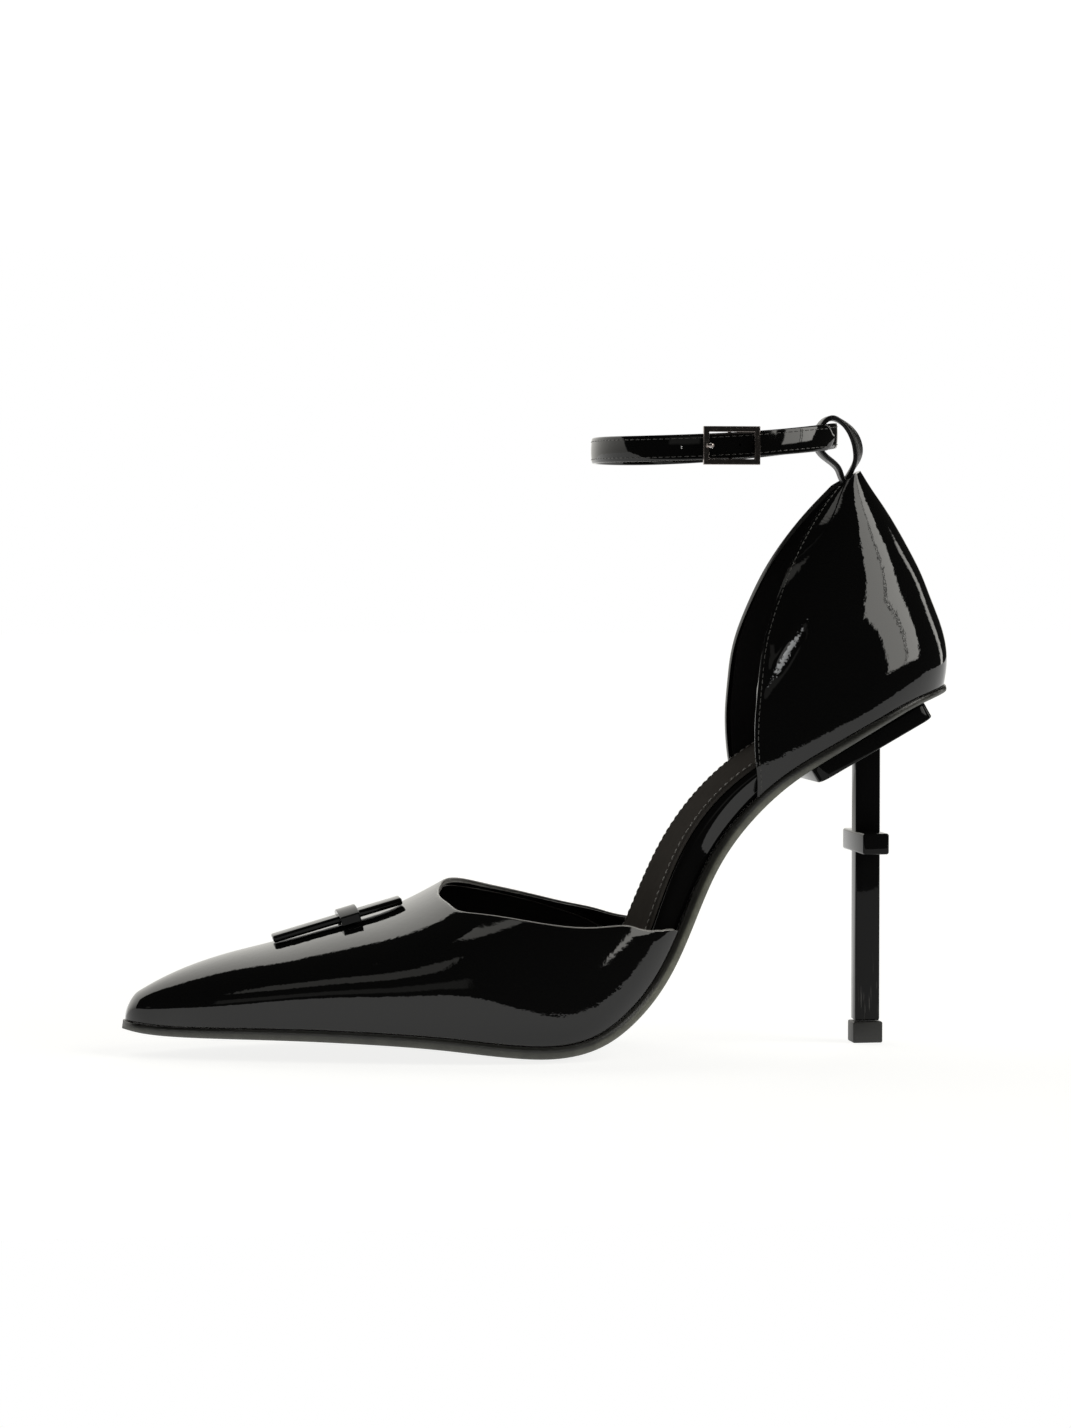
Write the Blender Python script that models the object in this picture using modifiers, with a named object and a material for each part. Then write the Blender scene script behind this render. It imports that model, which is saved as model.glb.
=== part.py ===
"""Left ankle-strap pump: closed pointed toe, open waist, buckled ankle strap, slim square heel.

Metres, +Z up. The toe points to -X and the outer side of the foot, with the buckle, to -Y.
The shoe stands empty on the plane Z = 0, with the origin under the middle of its box.
"""
import math

import bmesh
import bpy
import numpy as np
from mathutils import Matrix, Vector

for old in list(bpy.data.objects):
    bpy.data.objects.remove(old)

# Driving dimensions of the last.
LENGTH = 0.2378  # toe tip to the back of the heel seat, in plan
HALF_BALL = 0.0365  # from the foot's axis to the outer side of the ball
SEAT_RISE = 0.1044  # back of the heel seat above the floor
INSTEP_RISE = 0.0476  # ridge of the vamp at the throat above the floor

# Walls and clearances.
WALL = 0.0015
GAP = 0.0003
SOCK_THICKNESS = 0.0012
SOCK_MARGIN = 0.0016

# Rounding at the two ends: of the outline in plan, and of the toe seen from the side.
TOE_CAP = 0.0058
HEEL_CAP = 0.031
NOSE_CAP = 0.0038
END_STUB = 0.00012  # a round end stops this short of its point

# Fineness of the meshes.
FINE_SAMPLES = 400
MERGE = 1e-6

parts = bpy.data.collections.new("ankle_strap_pump")
cutters = bpy.data.collections.new("cutters")
for group in (parts, cutters):
    bpy.context.scene.collection.children.link(group)

root = bpy.data.objects.new("shoe_root", None)
parts.objects.link(root)


class Spline:
    """Natural cubic through one column of a table."""

    def __init__(self, knots, values):
        self.knots = np.asarray(knots, float)
        self.values = np.asarray(values, float)
        step = np.diff(self.knots)
        count = len(self.knots)
        matrix = np.eye(count)
        change = np.zeros(count)
        slope = np.diff(self.values) / step
        for row in range(1, count - 1):
            matrix[row, row - 1:row + 2] = step[row - 1], 2 * (step[row - 1] + step[row]), step[row]
            change[row] = 3 * (slope[row] - slope[row - 1])
        self.bend = np.linalg.solve(matrix, change)
        self.step = step
        self.slope = slope - step * (2 * self.bend[:-1] + self.bend[1:]) / 3

    def _span(self, where):
        span = int(np.clip(np.searchsorted(self.knots, where) - 1, 0, len(self.step) - 1))
        return span, where - self.knots[span]

    def __call__(self, where):
        span, past = self._span(where)
        cubic = (self.bend[span + 1] - self.bend[span]) / (3 * self.step[span])
        return self.values[span] + past * (self.slope[span] + past * (self.bend[span] + past * cubic))

    def rate(self, where):
        span, past = self._span(where)
        cubic = (self.bend[span + 1] - self.bend[span]) / (3 * self.step[span])
        return self.slope[span] + past * (2 * self.bend[span] + 3 * past * cubic)


def splines(columns, rows, stations=None):
    """One spline per named column, read by the first column or by the given stations."""
    data = dict(zip(columns, zip(*rows)))
    knots = data[columns[0]] if stations is None else stations
    return {name: Spline(knots, values) for name, values in data.items()}


# The last, from toe to heel. along: share of LENGTH. rise: feather line, share of SEAT_RISE.
# lateral, medial: half widths, shares of HALF_BALL. sole: edge thickness of the outsole.
# crown: how far the middle of the outsole swells below its edge. board: insole board thickness.
# step: how far the outsole stands out past the upper.
LAST_COLUMNS = ("along", "rise", "lateral", "medial", "sole", "crown", "board", "step")
LAST_ROWS = [
    (0.0000, 0.0920, 0.014, 0.342, 0.0022, 0.0003, 0.0018, 0.0006),
    (0.0231, 0.0852, 0.052, 0.384, 0.0024, 0.0006, 0.0019, 0.0007),
    (0.0652, 0.0833, 0.219, 0.540, 0.0026, 0.0010, 0.0020, 0.0007),
    (0.1367, 0.0862, 0.447, 0.707, 0.0029, 0.0013, 0.0021, 0.0007),
    (0.2082, 0.0862, 0.616, 0.827, 0.0031, 0.0015, 0.0022, 0.0007),
    (0.2839, 0.0814, 0.781, 0.921, 0.0032, 0.0016, 0.0022, 0.0007),
    (0.3680, 0.0690, 0.926, 0.964, 0.0033, 0.0017, 0.0022, 0.0007),
    (0.4563, 0.0479, 1.000, 0.921, 0.0034, 0.0018, 0.0023, 0.0007),
    (0.5151, 0.0498, 0.975, 0.838, 0.0034, 0.0018, 0.0026, 0.0007),
    (0.5488, 0.0718, 0.918, 0.762, 0.0034, 0.0015, 0.0032, 0.0006),
    (0.5824, 0.1197, 0.827, 0.682, 0.0035, 0.0011, 0.0042, 0.0004),
    (0.6207, 0.2098, 0.701, 0.580, 0.0036, 0.0008, 0.0053, 0.0000),
    (0.6577, 0.3602, 0.581, 0.503, 0.0037, 0.0006, 0.0066, -0.0005),
    (0.6947, 0.5297, 0.501, 0.466, 0.0037, 0.0005, 0.0072, -0.0009),
    (0.7384, 0.6638, 0.504, 0.479, 0.0037, 0.0005, 0.0068, -0.0008),
    (0.7843, 0.7605, 0.578, 0.556, 0.0033, 0.0005, 0.0054, -0.0001),
    (0.8398, 0.8400, 0.633, 0.622, 0.0028, 0.0004, 0.0044, 0.0004),
    (0.8936, 0.9080, 0.636, 0.630, 0.0024, 0.0003, 0.0040, 0.0004),
    (0.9483, 0.9655, 0.614, 0.614, 0.0020, 0.0002, 0.0038, 0.0004),
    (1.0000, 1.0000, 0.608, 0.608, 0.0017, 0.0001, 0.0036, 0.0004),
]


def place(along):
    return (along - 0.5) * LENGTH


profile_points = [(place(row[0]), row[1] * SEAT_RISE) for row in LAST_ROWS]
run_lengths = np.concatenate(([0], np.cumsum(np.hypot(*np.diff(profile_points, axis=0).T))))
LAST = splines(LAST_COLUMNS, LAST_ROWS, run_lengths)
RUN = float(run_lengths[-1])
RUN_STEPS = np.linspace(0, RUN, 2 * FINE_SAMPLES + 1)
ALONG_STEPS = [LAST["along"](step) for step in RUN_STEPS]


def run_at(along):
    """Distance from the toe along the sole for a place along the foot."""
    return float(np.interp(along, ALONG_STEPS, RUN_STEPS))


def cap(distance, reach):
    """Round ending of an outline: 0 at the end, 1 from reach onwards."""
    share = min(max(distance / reach, 0), 1)
    return math.sqrt(1 - (1 - share) ** 2)


def edges(run, inset=0.0):
    """Lateral and medial edge of the last's outline, drawn in by inset all round."""
    rounding = cap(run - inset, TOE_CAP) * cap(RUN - inset - run, HEEL_CAP)
    lateral = LAST["lateral"](run) * HALF_BALL - inset
    medial = LAST["medial"](run) * HALF_BALL - inset
    middle = (medial - lateral) / 2
    half = (medial + lateral) / 2 * rounding
    return middle - half, middle + half


def tilt_at(run):
    """Slope of the feather line, as an angle."""
    return math.atan2(LAST["rise"].rate(run) * SEAT_RISE, LAST["along"].rate(run) * LENGTH)


def on_last(run, across, above):
    """World point at a run along the feather line, across the foot, and above along its normal."""
    tilt = tilt_at(run)
    x = place(LAST["along"](run)) - above * math.sin(tilt)
    return (x, across, LAST["rise"](run) * SEAT_RISE + above * math.cos(tilt))


def stations(inset, spacing=0.0062, cap_steps=5):
    """Runs along the last, close together round the two end caps."""
    toe = inset + TOE_CAP * (1 - np.cos(np.linspace(0, math.pi / 2, cap_steps)))
    heel = RUN - inset - HEEL_CAP * (1 - np.cos(np.linspace(math.pi / 2, 0, cap_steps + 2)))
    middle = np.linspace(toe[-1], heel[0], round((heel[0] - toe[-1]) / spacing) + 1)[1:-1]
    toe[0] += END_STUB
    heel[-1] -= END_STUB
    return np.concatenate((toe, middle, heel))


def finish(name, colour, roughness, metallic=0.0):
    material = bpy.data.materials.new(name)
    material.use_nodes = True
    shader = material.node_tree.nodes["Principled BSDF"]
    shader.inputs["Base Color"].default_value = (*colour, 1)
    shader.inputs["Roughness"].default_value = roughness
    shader.inputs["Metallic"].default_value = metallic
    return material


PATENT = finish("black_patent", (0.008, 0.008, 0.008), 0.06)
SOLE_LEATHER = finish("sole_edge", (0.020, 0.020, 0.017), 0.35)
SATIN = finish("sock_satin", (0.030, 0.027, 0.026), 0.40)
LACQUER = finish("black_lacquer", (0.010, 0.010, 0.010), 0.10)
TIP_RUBBER = finish("tip_rubber", (0.018, 0.018, 0.018), 0.55)
NICKEL = finish("dark_nickel", (0.160, 0.150, 0.150), 0.18, 1.0)


def add_part(name, mesh, material, smooth_angle=40):
    """Turn a bmesh into a named part under the shoe's root."""
    data = bpy.data.meshes.new(name)
    mesh.to_mesh(data)
    mesh.free()
    data.materials.append(material)
    data.shade_smooth()
    data.set_sharp_from_angle(angle=math.radians(smooth_angle))
    part = bpy.data.objects.new(name, data)
    parts.objects.link(part)
    part.parent = root
    return part


def loft(name, rings, material, closed=False):
    """Skin rings of equal count into one closed body, capped at the ends or closed on itself."""
    mesh = bmesh.new()
    loops = [[mesh.verts.new(point) for point in ring] for ring in rings]
    followers = loops[1:] + loops[:1] if closed else loops[1:]
    for here, there in zip(loops, followers):
        for corner in range(len(here)):
            other = (corner + 1) % len(here)
            mesh.faces.new((here[corner], here[other], there[other], there[corner]))
    if not closed:
        mesh.faces.new(loops[0])
        mesh.faces.new(loops[-1])
    bmesh.ops.recalc_face_normals(mesh, faces=mesh.faces)
    return add_part(name, mesh, material)


def shell(name, rows, material, pole=None):
    """Skin rows of an outer surface, fanned from a pole where given, and thicken it inwards."""
    mesh = bmesh.new()
    lines = [[mesh.verts.new(point) for point in row] for row in rows]
    for here, there in zip(lines, lines[1:]):
        for column in range(len(here) - 1):
            mesh.faces.new((here[column], here[column + 1], there[column + 1], there[column]))
    if pole is not None:
        tip = mesh.verts.new(pole)
        for one, two in zip(lines[0], lines[0][1:]):
            mesh.faces.new((tip, two, one))
    bmesh.ops.recalc_face_normals(mesh, faces=mesh.faces)
    middle = sum((vertex.co for vertex in mesh.verts), Vector()) / len(mesh.verts)
    outward = sum(face.normal.dot(face.calc_center_median() - middle) for face in mesh.faces)
    if outward < 0:
        bmesh.ops.reverse_faces(mesh, faces=mesh.faces)
    part = add_part(name, mesh, material)
    wall = part.modifiers.new("wall", "SOLIDIFY")
    wall.thickness = WALL
    wall.offset = -1
    wall.use_even_offset = True
    wall.use_quality_normals = True
    return part


# Outsole: the edge is upright above and bevelled below, and the bottom swells to a flat tread.
EDGE_TOP_IN = 0.0004
EDGE_BEVEL_IN = 0.0010
EDGE_UPRIGHT = (0.25, 0.55)  # shares of the edge's thickness between which it stands upright
TREAD_SHARES = (-0.78, -0.45, 0.0, 0.45, 0.78)
TREAD_POWER = 3  # how flat the middle of the swell is


def outsole_ring(run):
    lateral, medial = edges(run, -LAST["step"](run))
    depth = LAST["sole"](run)
    crown = LAST["crown"](run)
    room = (medial - lateral) / 2
    top_in = min(EDGE_TOP_IN, room / 4)
    bevel_in = min(EDGE_BEVEL_IN, room / 2)
    middle = (lateral + medial) / 2
    half = room - bevel_in
    section = [(lateral + top_in, 0)]
    section += [(lateral, -share * depth) for share in EDGE_UPRIGHT]
    section.append((lateral + bevel_in, -depth))
    for share in TREAD_SHARES:
        section.append((middle + share * half, -depth - crown * (1 - abs(share) ** TREAD_POWER)))
    section.append((medial - bevel_in, -depth))
    section += [(medial, -share * depth) for share in reversed(EDGE_UPRIGHT)]
    section.append((medial - top_in, 0))
    points = [on_last(run, across, above) for across, above in section]
    return [(x, y, max(z, 0.0)) for x, y, z in points]


def outsole():
    step = -LAST["step"](0)
    return loft("outsole", [outsole_ring(run) for run in stations(step)], SOLE_LEATHER)


# Insole board: wrapped in patent, undercut at the side so that its widest line is high up.
BOARD_SIDE = [(0.13, 0.0), (0.04, 0.42), (0.0, 0.68), (0.05, 0.87), (0.19, 1.0)]  # inset, rise
BOARD_INSET = WALL + 2 * GAP


def side_section(lateral, medial, base, height, side):
    """Closed section from a side table of inset and rise, both as shares of the height."""
    room = (medial - lateral) / 2
    left = [(lateral + min(share * height, room / 2), base + rise * height) for share, rise in side]
    right = [(medial - min(share * height, room / 2), base + rise * height) for share, rise in side]
    return left + right[::-1]


def insole_board():
    rings = []
    for run in stations(BOARD_INSET):
        lateral, medial = edges(run, BOARD_INSET)
        section = side_section(lateral, medial, GAP, LAST["board"](run), BOARD_SIDE)
        rings.append([on_last(run, across, above) for across, above in section])
    return loft("insole_board", rings, PATENT)


# Sock lining: a thin sheet with softened edges, set in from the board's edge.
SOCK_SIDE = [(0.0, 0.0), (0.0, 0.6), (0.35, 1.0)]  # inset, rise
SOCK_INSET = BOARD_INSET + SOCK_MARGIN


def sock_lining():
    rings = []
    for run in stations(SOCK_INSET):
        lateral, medial = edges(run, SOCK_INSET)
        base = 2 * GAP + LAST["board"](run)
        section = side_section(lateral, medial, base, SOCK_THICKNESS, SOCK_SIDE)
        rings.append([on_last(run, across, above) for across, above in section])
    return loft("sock_lining", rings, SATIN)


# Vamp ridge, carried on past the throat to guide the side wings. height: share of INSTEP_RISE.
# offset: how far the ridge lies to the medial side, share of HALF_BALL. bow: section exponent.
# girth: height of the wall's widest line above the sole, share of INSTEP_RISE.
RIDGE_COLUMNS = ("along", "height", "offset", "bow", "girth")
RIDGE_ROWS = [
    (0.000, 0.322, 0.164, 2.00, 0.080),
    (0.025, 0.398, 0.164, 2.00, 0.090),
    (0.080, 0.524, 0.164, 2.00, 0.112),
    (0.135, 0.606, 0.166, 2.00, 0.138),
    (0.178, 0.656, 0.168, 2.00, 0.162),
    (0.254, 0.758, 0.178, 2.02, 0.196),
    (0.330, 0.872, 0.200, 2.05, 0.226),
    (0.372, 0.972, 0.215, 2.08, 0.246),
    (0.398, 1.040, 0.220, 2.10, 0.244),
    (0.452, 1.156, 0.215, 2.10, 0.186),
    (0.536, 1.316, 0.190, 2.10, 0.114),
    (0.662, 1.555, 0.120, 2.10, 0.270),
]
RIDGE = splines(RIDGE_COLUMNS, RIDGE_ROWS)

# Topline of the vamp. turn: share of the way from ridge to feather line. lateral, medial: places
# along the foot where the cut crosses that line on the two sides.
TOPLINE_COLUMNS = ("turn", "lateral", "medial")
TOPLINE_ROWS = [
    (0.0, 0.3818, 0.3818),
    (0.1, 0.3732, 0.3904),
    (0.2, 0.3728, 0.4036),
    (0.3, 0.3798, 0.4238),
    (0.4, 0.3974, 0.4590),
    (0.5, 0.4649, 0.5172),
    (0.6, 0.5595, 0.5687),
    (0.7, 0.5998, 0.6004),
    (0.8, 0.6227, 0.6223),
    (0.9, 0.6383, 0.6375),
    (1.0, 0.6520, 0.6516),
]
TOPLINE = Spline(
    [-row[0] for row in reversed(TOPLINE_ROWS)] + [row[0] for row in TOPLINE_ROWS[1:]],
    [row[1] for row in reversed(TOPLINE_ROWS)] + [row[2] for row in TOPLINE_ROWS[1:]],
)
WALL_TURN = 0.16  # share of the turn that lies below the widest line
TUCK_IN = 0.0011  # how far the wall draws in from its widest line to the sole
VAMP_ROWS = 24
VAMP_COLUMNS = 26
VAMP_SPACING = 1.5  # rows crowd towards the toe by this power


def bowed(value, bow):
    return math.copysign(abs(value) ** (2 / bow), value)


def vamp_point(along, turn):
    """Outer surface of the vamp: turn -1 is the lateral feather line, 0 the ridge, 1 the medial."""
    run = run_at(along)
    lateral, medial = edges(run)
    edge = lateral if turn < 0 else medial
    base = LAST["rise"](run) * SEAT_RISE + GAP / math.cos(tilt_at(run))
    nose = cap(along * LENGTH, NOSE_CAP)
    top = base + (RIDGE["height"](along) * INSTEP_RISE - base) * nose
    widest = base + RIDGE["girth"](along) * INSTEP_RISE * nose
    bulge = math.copysign(TUCK_IN * nose, turn)
    below = (abs(turn) - 1 + WALL_TURN) / WALL_TURN
    if below > 0:
        return (place(along), edge + bulge * (1 - below ** 2), widest + (base - widest) * below)
    angle = math.pi / 2 * abs(turn) / (1 - WALL_TURN)
    bow = RIDGE["bow"](along)
    crest = RIDGE["offset"](along) * HALF_BALL
    across = crest + (edge + bulge - crest) * bowed(math.sin(angle), bow)
    return (place(along), across, widest + (top - widest) * bowed(math.cos(angle), bow))


def vamp():
    turns = np.linspace(-1, 1, VAMP_COLUMNS + 1)
    rows = []
    for row in range(1, VAMP_ROWS + 1):
        share = (row / VAMP_ROWS) ** VAMP_SPACING
        rows.append([vamp_point(share * TOPLINE(turn), turn) for turn in turns])
    lateral, medial = edges(0)
    return shell("vamp", rows, PATENT, pole=on_last(0, (lateral + medial) / 2, GAP))


# Quarter, in rows parallel to the heel seat. height: above the seat's back. front, back: the ends
# of the row along the seat, back from the seat's back. half: half width at the front edge.
# square: how square the row is round the heel. round: swell of the sides between front edge and back.
QUARTER_COLUMNS = ("height", "front", "back", "half", "square", "round")
QUARTER_ROWS = [
    (0.0037, -0.0650, 0.0030, 0.0194, 3.0, 0.12),
    (0.0082, -0.0632, 0.0056, 0.0200, 3.0, 0.12),
    (0.0151, -0.0603, 0.0078, 0.0207, 3.0, 0.12),
    (0.0234, -0.0559, 0.0091, 0.0215, 3.0, 0.11),
    (0.0312, -0.0507, 0.0102, 0.0216, 2.9, 0.10),
    (0.0400, -0.0437, 0.0106, 0.0206, 2.75, 0.08),
    (0.0480, -0.0345, 0.0106, 0.0184, 2.5, 0.065),
    (0.0554, -0.0240, 0.0102, 0.0149, 2.3, 0.06),
    (0.0600, -0.0155, 0.0098, 0.0113, 2.2, 0.06),
    (0.0640, -0.0060, 0.0096, 0.0072, 2.6, 0.06),
    (0.0663, 0.0010, 0.0095, 0.0048, 3.2, 0.06),
]
SEAT_TILT = math.radians(30)
QUARTER_START = 0.752  # place along the foot where the quarter's front edges meet the sole
QUARTER_BLEND = 0.032  # height by which the row's form no longer follows the sole's outline
ROW_COUNT = 17
ROW_COLUMNS = 26
ROW_SPACING = 1.5  # rows crowd towards the top by this power


def resample(points, count):
    """Evenly spaced points along a polyline."""
    points = np.asarray(points, float)
    gone = np.concatenate(([0], np.cumsum(np.linalg.norm(np.diff(points, axis=0), axis=1))))
    wanted = np.linspace(0, gone[-1], count)
    return np.stack([np.interp(wanted, gone, column) for column in points.T], axis=1)


def to_seat(point):
    """World point as (along the seat, across, above the seat), from the seat's back."""
    dx = point[0] - place(1.0)
    dz = point[2] - SEAT_RISE
    along = dx * math.cos(SEAT_TILT) + dz * math.sin(SEAT_TILT)
    return (along, point[1], dz * math.cos(SEAT_TILT) - dx * math.sin(SEAT_TILT))


def from_seat(along, across, above):
    x = place(1.0) + along * math.cos(SEAT_TILT) - above * math.sin(SEAT_TILT)
    return (x, across, SEAT_RISE + along * math.sin(SEAT_TILT) + above * math.cos(SEAT_TILT))


def quarter_rows():
    runs = np.linspace(run_at(QUARTER_START), RUN, FINE_SAMPLES)
    lateral = [to_seat(on_last(run, edges(run)[0], GAP)) for run in runs]
    medial = [to_seat(on_last(run, edges(run)[1], GAP)) for run in runs[-2::-1]]
    base = resample(lateral + medial, ROW_COLUMNS + 1)
    front = (base[0][0] + base[-1][0]) / 2
    back = base[:, 0].max()
    half = (base[-1][1] - base[0][1]) / 2
    base_form = np.stack([(base[:, 0] - front) / (back - front), base[:, 1] / half], axis=1)
    table = splines(QUARTER_COLUMNS, [(0.0, front, back, half, *QUARTER_ROWS[0][4:])] + QUARTER_ROWS)
    top = QUARTER_ROWS[-1][0]
    rows = []
    for row in range(ROW_COUNT + 1):
        height = top * (1 - (1 - row / ROW_COUNT) ** ROW_SPACING)
        front_here, back_here, half_here, square, swell = (
            table[name](height) for name in QUARTER_COLUMNS[1:])
        angles = np.linspace(-math.pi / 2, math.pi / 2, FINE_SAMPLES)
        form = []
        for angle in angles:
            depth = max(math.cos(angle), 0.0) ** (2 / square)
            wide = math.sin(angle) * (1 + swell * math.sin(math.pi * depth)) * half_here
            form.append((depth * (back_here - front_here), wide))
        bend = resample(form, ROW_COLUMNS + 1)
        share = min(height / QUARTER_BLEND, 1)
        share = share * share * (3 - 2 * share)
        along = front_here + (1 - share) * base_form[:, 0] * (back_here - front_here) + share * bend[:, 0]
        across = (1 - share) * base_form[:, 1] * half_here + share * bend[:, 1]
        above = height + (1 - share) * base[:, 2]
        rows.append([from_seat(*point) for point in zip(along, across, above)])
    return rows


def quarter():
    return shell("quarter", quarter_rows(), PATENT)


# Flat straps: a chamfered section carried along a path.
STRAP_CHAMFER = 0.00035


def strap_ring(point, across, outward, width, thickness):
    """Chamfered section of a strap: across is its width direction, outward its thickness direction."""
    w = width / 2
    t = thickness / 2
    c = min(STRAP_CHAMFER, w / 2, t / 2)
    corners = [(-w, -t + c), (-w, t - c), (-w + c, t), (w - c, t), (w, t - c), (w, -t + c), (w - c, -t),
               (-w + c, -t)]
    return [Vector(point) + across * u + outward * v for u, v in corners]


# Ankle strap: an oval in plan that rises to the back. It starts behind the buckle, runs once round
# the ankle, and its tail lies over its own start.
STRAP_CENTRE_X = 0.0508
STRAP_HALF_LENGTH = 0.0347
STRAP_HALF_WIDTH = 0.0300
STRAP_SQUARE = 2.3
STRAP_WIDTH = 0.0073
STRAP_THICKNESS = 0.0014
STRAP_LEVEL = 0.1729
STRAP_RISE = 0.0022
STRAP_DISH = 0.0014
LAP = STRAP_THICKNESS + GAP
STRAP_START = -0.0024  # turn, as a share of the oval, where the inner end meets the buckle's bar
LAP_START = 0.86  # turn where the strap begins to lift over its own start
LAP_FULL = 0.965
TAIL_END = 1.150
TAIL_ROUND = 0.0045
TAIL_TIP = 0.35  # share of the width that is left at the tail's end
STRAP_POINTS = 72


def strap_point(turn, lift=0.0):
    """Point on the oval; turn 0 is at the buckle's bar, and turn grows towards the back of the heel."""
    angle = 2 * math.pi * turn - math.pi / 2
    x = bowed(math.cos(angle), STRAP_SQUARE)
    y = bowed(math.sin(angle), STRAP_SQUARE)
    level = STRAP_LEVEL + STRAP_RISE * x + STRAP_DISH * x * x
    return Vector((STRAP_CENTRE_X + (STRAP_HALF_LENGTH + lift) * x, (STRAP_HALF_WIDTH + lift) * y, level))


def lap_lift(turn):
    share = min(max((turn - LAP_START) / (LAP_FULL - LAP_START), 0), 1)
    return LAP * share * share * (3 - 2 * share)


def ankle_strap():
    turns = np.linspace(STRAP_START, TAIL_END, FINE_SAMPLES)
    path = resample([strap_point(turn, lap_lift(turn)) for turn in turns], STRAP_POINTS)
    ends = np.linalg.norm(path - path[-1], axis=1)
    rings = []
    for index, point in enumerate(path):
        ahead = Vector(path[min(index + 1, len(path) - 1)] - path[max(index - 1, 0)]).normalized()
        outward = ahead.cross(Vector((0, 0, 1))).normalized()
        across = outward.cross(ahead).normalized()
        in_tail = index > len(path) / 2 and ends[index] < TAIL_ROUND
        narrow = max(cap(ends[index], TAIL_ROUND), TAIL_TIP) if in_tail else 1
        rings.append(strap_ring(point, across, outward, STRAP_WIDTH * narrow, STRAP_THICKNESS))
    strap = loft("ankle_strap", rings, PATENT)
    join(strap, prong_hole(), "DIFFERENCE")
    return strap


# Back loop: a narrow strap in the shape of a drop, its narrowed point held between the quarter's
# walls. x, z: from the point of the drop, up its back and round. turn: degrees by which the strap's
# face turns to the outer side. width: of the strap.
LOOP_THICKNESS = 0.0016
LOOP_POINTS = 44
LOOP_COLUMNS = ("x", "z", "turn", "width")
LOOP_ROWS = [
    (0.0895, 0.1632, 0, 0.0036),
    (0.0904, 0.1648, 4, 0.0036),
    (0.0922, 0.1680, 16, 0.0050),
    (0.0932, 0.1712, 28, 0.0064),
    (0.0927, 0.1750, 32, 0.0066),
    (0.0903, 0.1790, 26, 0.0066),
    (0.0861, 0.1816, 10, 0.0066),
    (0.0828, 0.1801, 2, 0.0066),
    (0.0812, 0.1760, 0, 0.0066),
    (0.0823, 0.1720, 0, 0.0064),
    (0.0852, 0.1694, 0, 0.0056),
    (0.0875, 0.1672, 0, 0.0042),
    (0.0885, 0.1648, 0, 0.0036),
]


def back_loop():
    table = splines(LOOP_COLUMNS, LOOP_ROWS + LOOP_ROWS[:1], range(len(LOOP_ROWS) + 1))
    steps = np.linspace(0, len(LOOP_ROWS), FINE_SAMPLES)
    dense = [[table[name](step) for name in ("x", "z")] for step in steps]
    gone = np.concatenate(([0], np.cumsum(np.hypot(*np.diff(dense, axis=0).T))))
    even = np.interp(np.linspace(0, gone[-1], LOOP_POINTS + 1)[:-1], gone, steps)
    path = [Vector((table["x"](step), 0, table["z"](step))) for step in even]
    rings = []
    for index, step in enumerate(even):
        ahead = (path[(index + 1) % len(path)] - path[index - 1]).normalized()
        turn = math.radians(table["turn"](step))
        across = Vector((math.sin(turn), math.cos(turn), 0))
        outward = ahead.cross(across).normalized()
        rings.append(strap_ring(path[index], across, outward, table["width"](step), LOOP_THICKNESS))
    return loft("back_loop", rings, PATENT, closed=True)


def block(name, size, bevel, material):
    """Rounded box at the origin."""
    mesh = bmesh.new()
    bmesh.ops.create_cube(mesh, size=1.0, matrix=Matrix.Diagonal((*size, 1)))
    part = add_part(name, mesh, material)
    edge = part.modifiers.new("edge", "BEVEL")
    edge.width = bevel
    edge.segments = 2
    return part


def join(part, other, operation="UNION"):
    """Weld another form to a part, or cut it out; the other stays behind as a guide."""
    parts.objects.unlink(other)
    cutters.objects.link(other)
    other.hide_render = True
    other.display_type = "WIRE"
    joint = part.modifiers.new(other.name, "BOOLEAN")
    joint.operation = operation
    joint.object = other


def rounded_rectangle(length, width, corner, steps):
    """Outline of a rectangle with round corners."""
    spots = []
    for quadrant, (side_x, side_y) in enumerate(((1, 1), (-1, 1), (-1, -1), (1, -1))):
        for step in range(steps + 1):
            angle = math.pi / 2 * (quadrant + step / steps)
            x = side_x * (length / 2 - corner) + corner * math.cos(angle)
            spots.append((x, side_y * (width / 2 - corner) + corner * math.sin(angle)))
    return spots


def flat_mesh(name, outlines, thickness, edge=0.0):
    """Mesh of flat outlines, the later ones cut out of the first, with thickness and rounded edges."""
    curve = bpy.data.curves.new(name, "CURVE")
    curve.dimensions = "2D"
    curve.fill_mode = "BOTH"
    curve.extrude = thickness / 2 - edge
    curve.bevel_depth = edge
    curve.bevel_resolution = 1
    for outline in outlines:
        spline = curve.splines.new("POLY")
        spline.points.add(len(outline) - 1)
        for point, (x, y) in zip(spline.points, outline):
            point.co = (x, y, 0, 1)
        spline.use_cyclic_u = True
    drawn = bpy.data.objects.new(name, curve)
    parts.objects.link(drawn)
    bpy.context.view_layer.update()
    evaluated = drawn.evaluated_get(bpy.context.evaluated_depsgraph_get())
    mesh = bmesh.new()
    mesh.from_mesh(bpy.data.meshes.new_from_object(evaluated))
    bpy.data.objects.remove(drawn)
    bmesh.ops.remove_doubles(mesh, verts=mesh.verts, dist=MERGE)
    bmesh.ops.recalc_face_normals(mesh, faces=mesh.faces)
    return mesh


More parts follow.
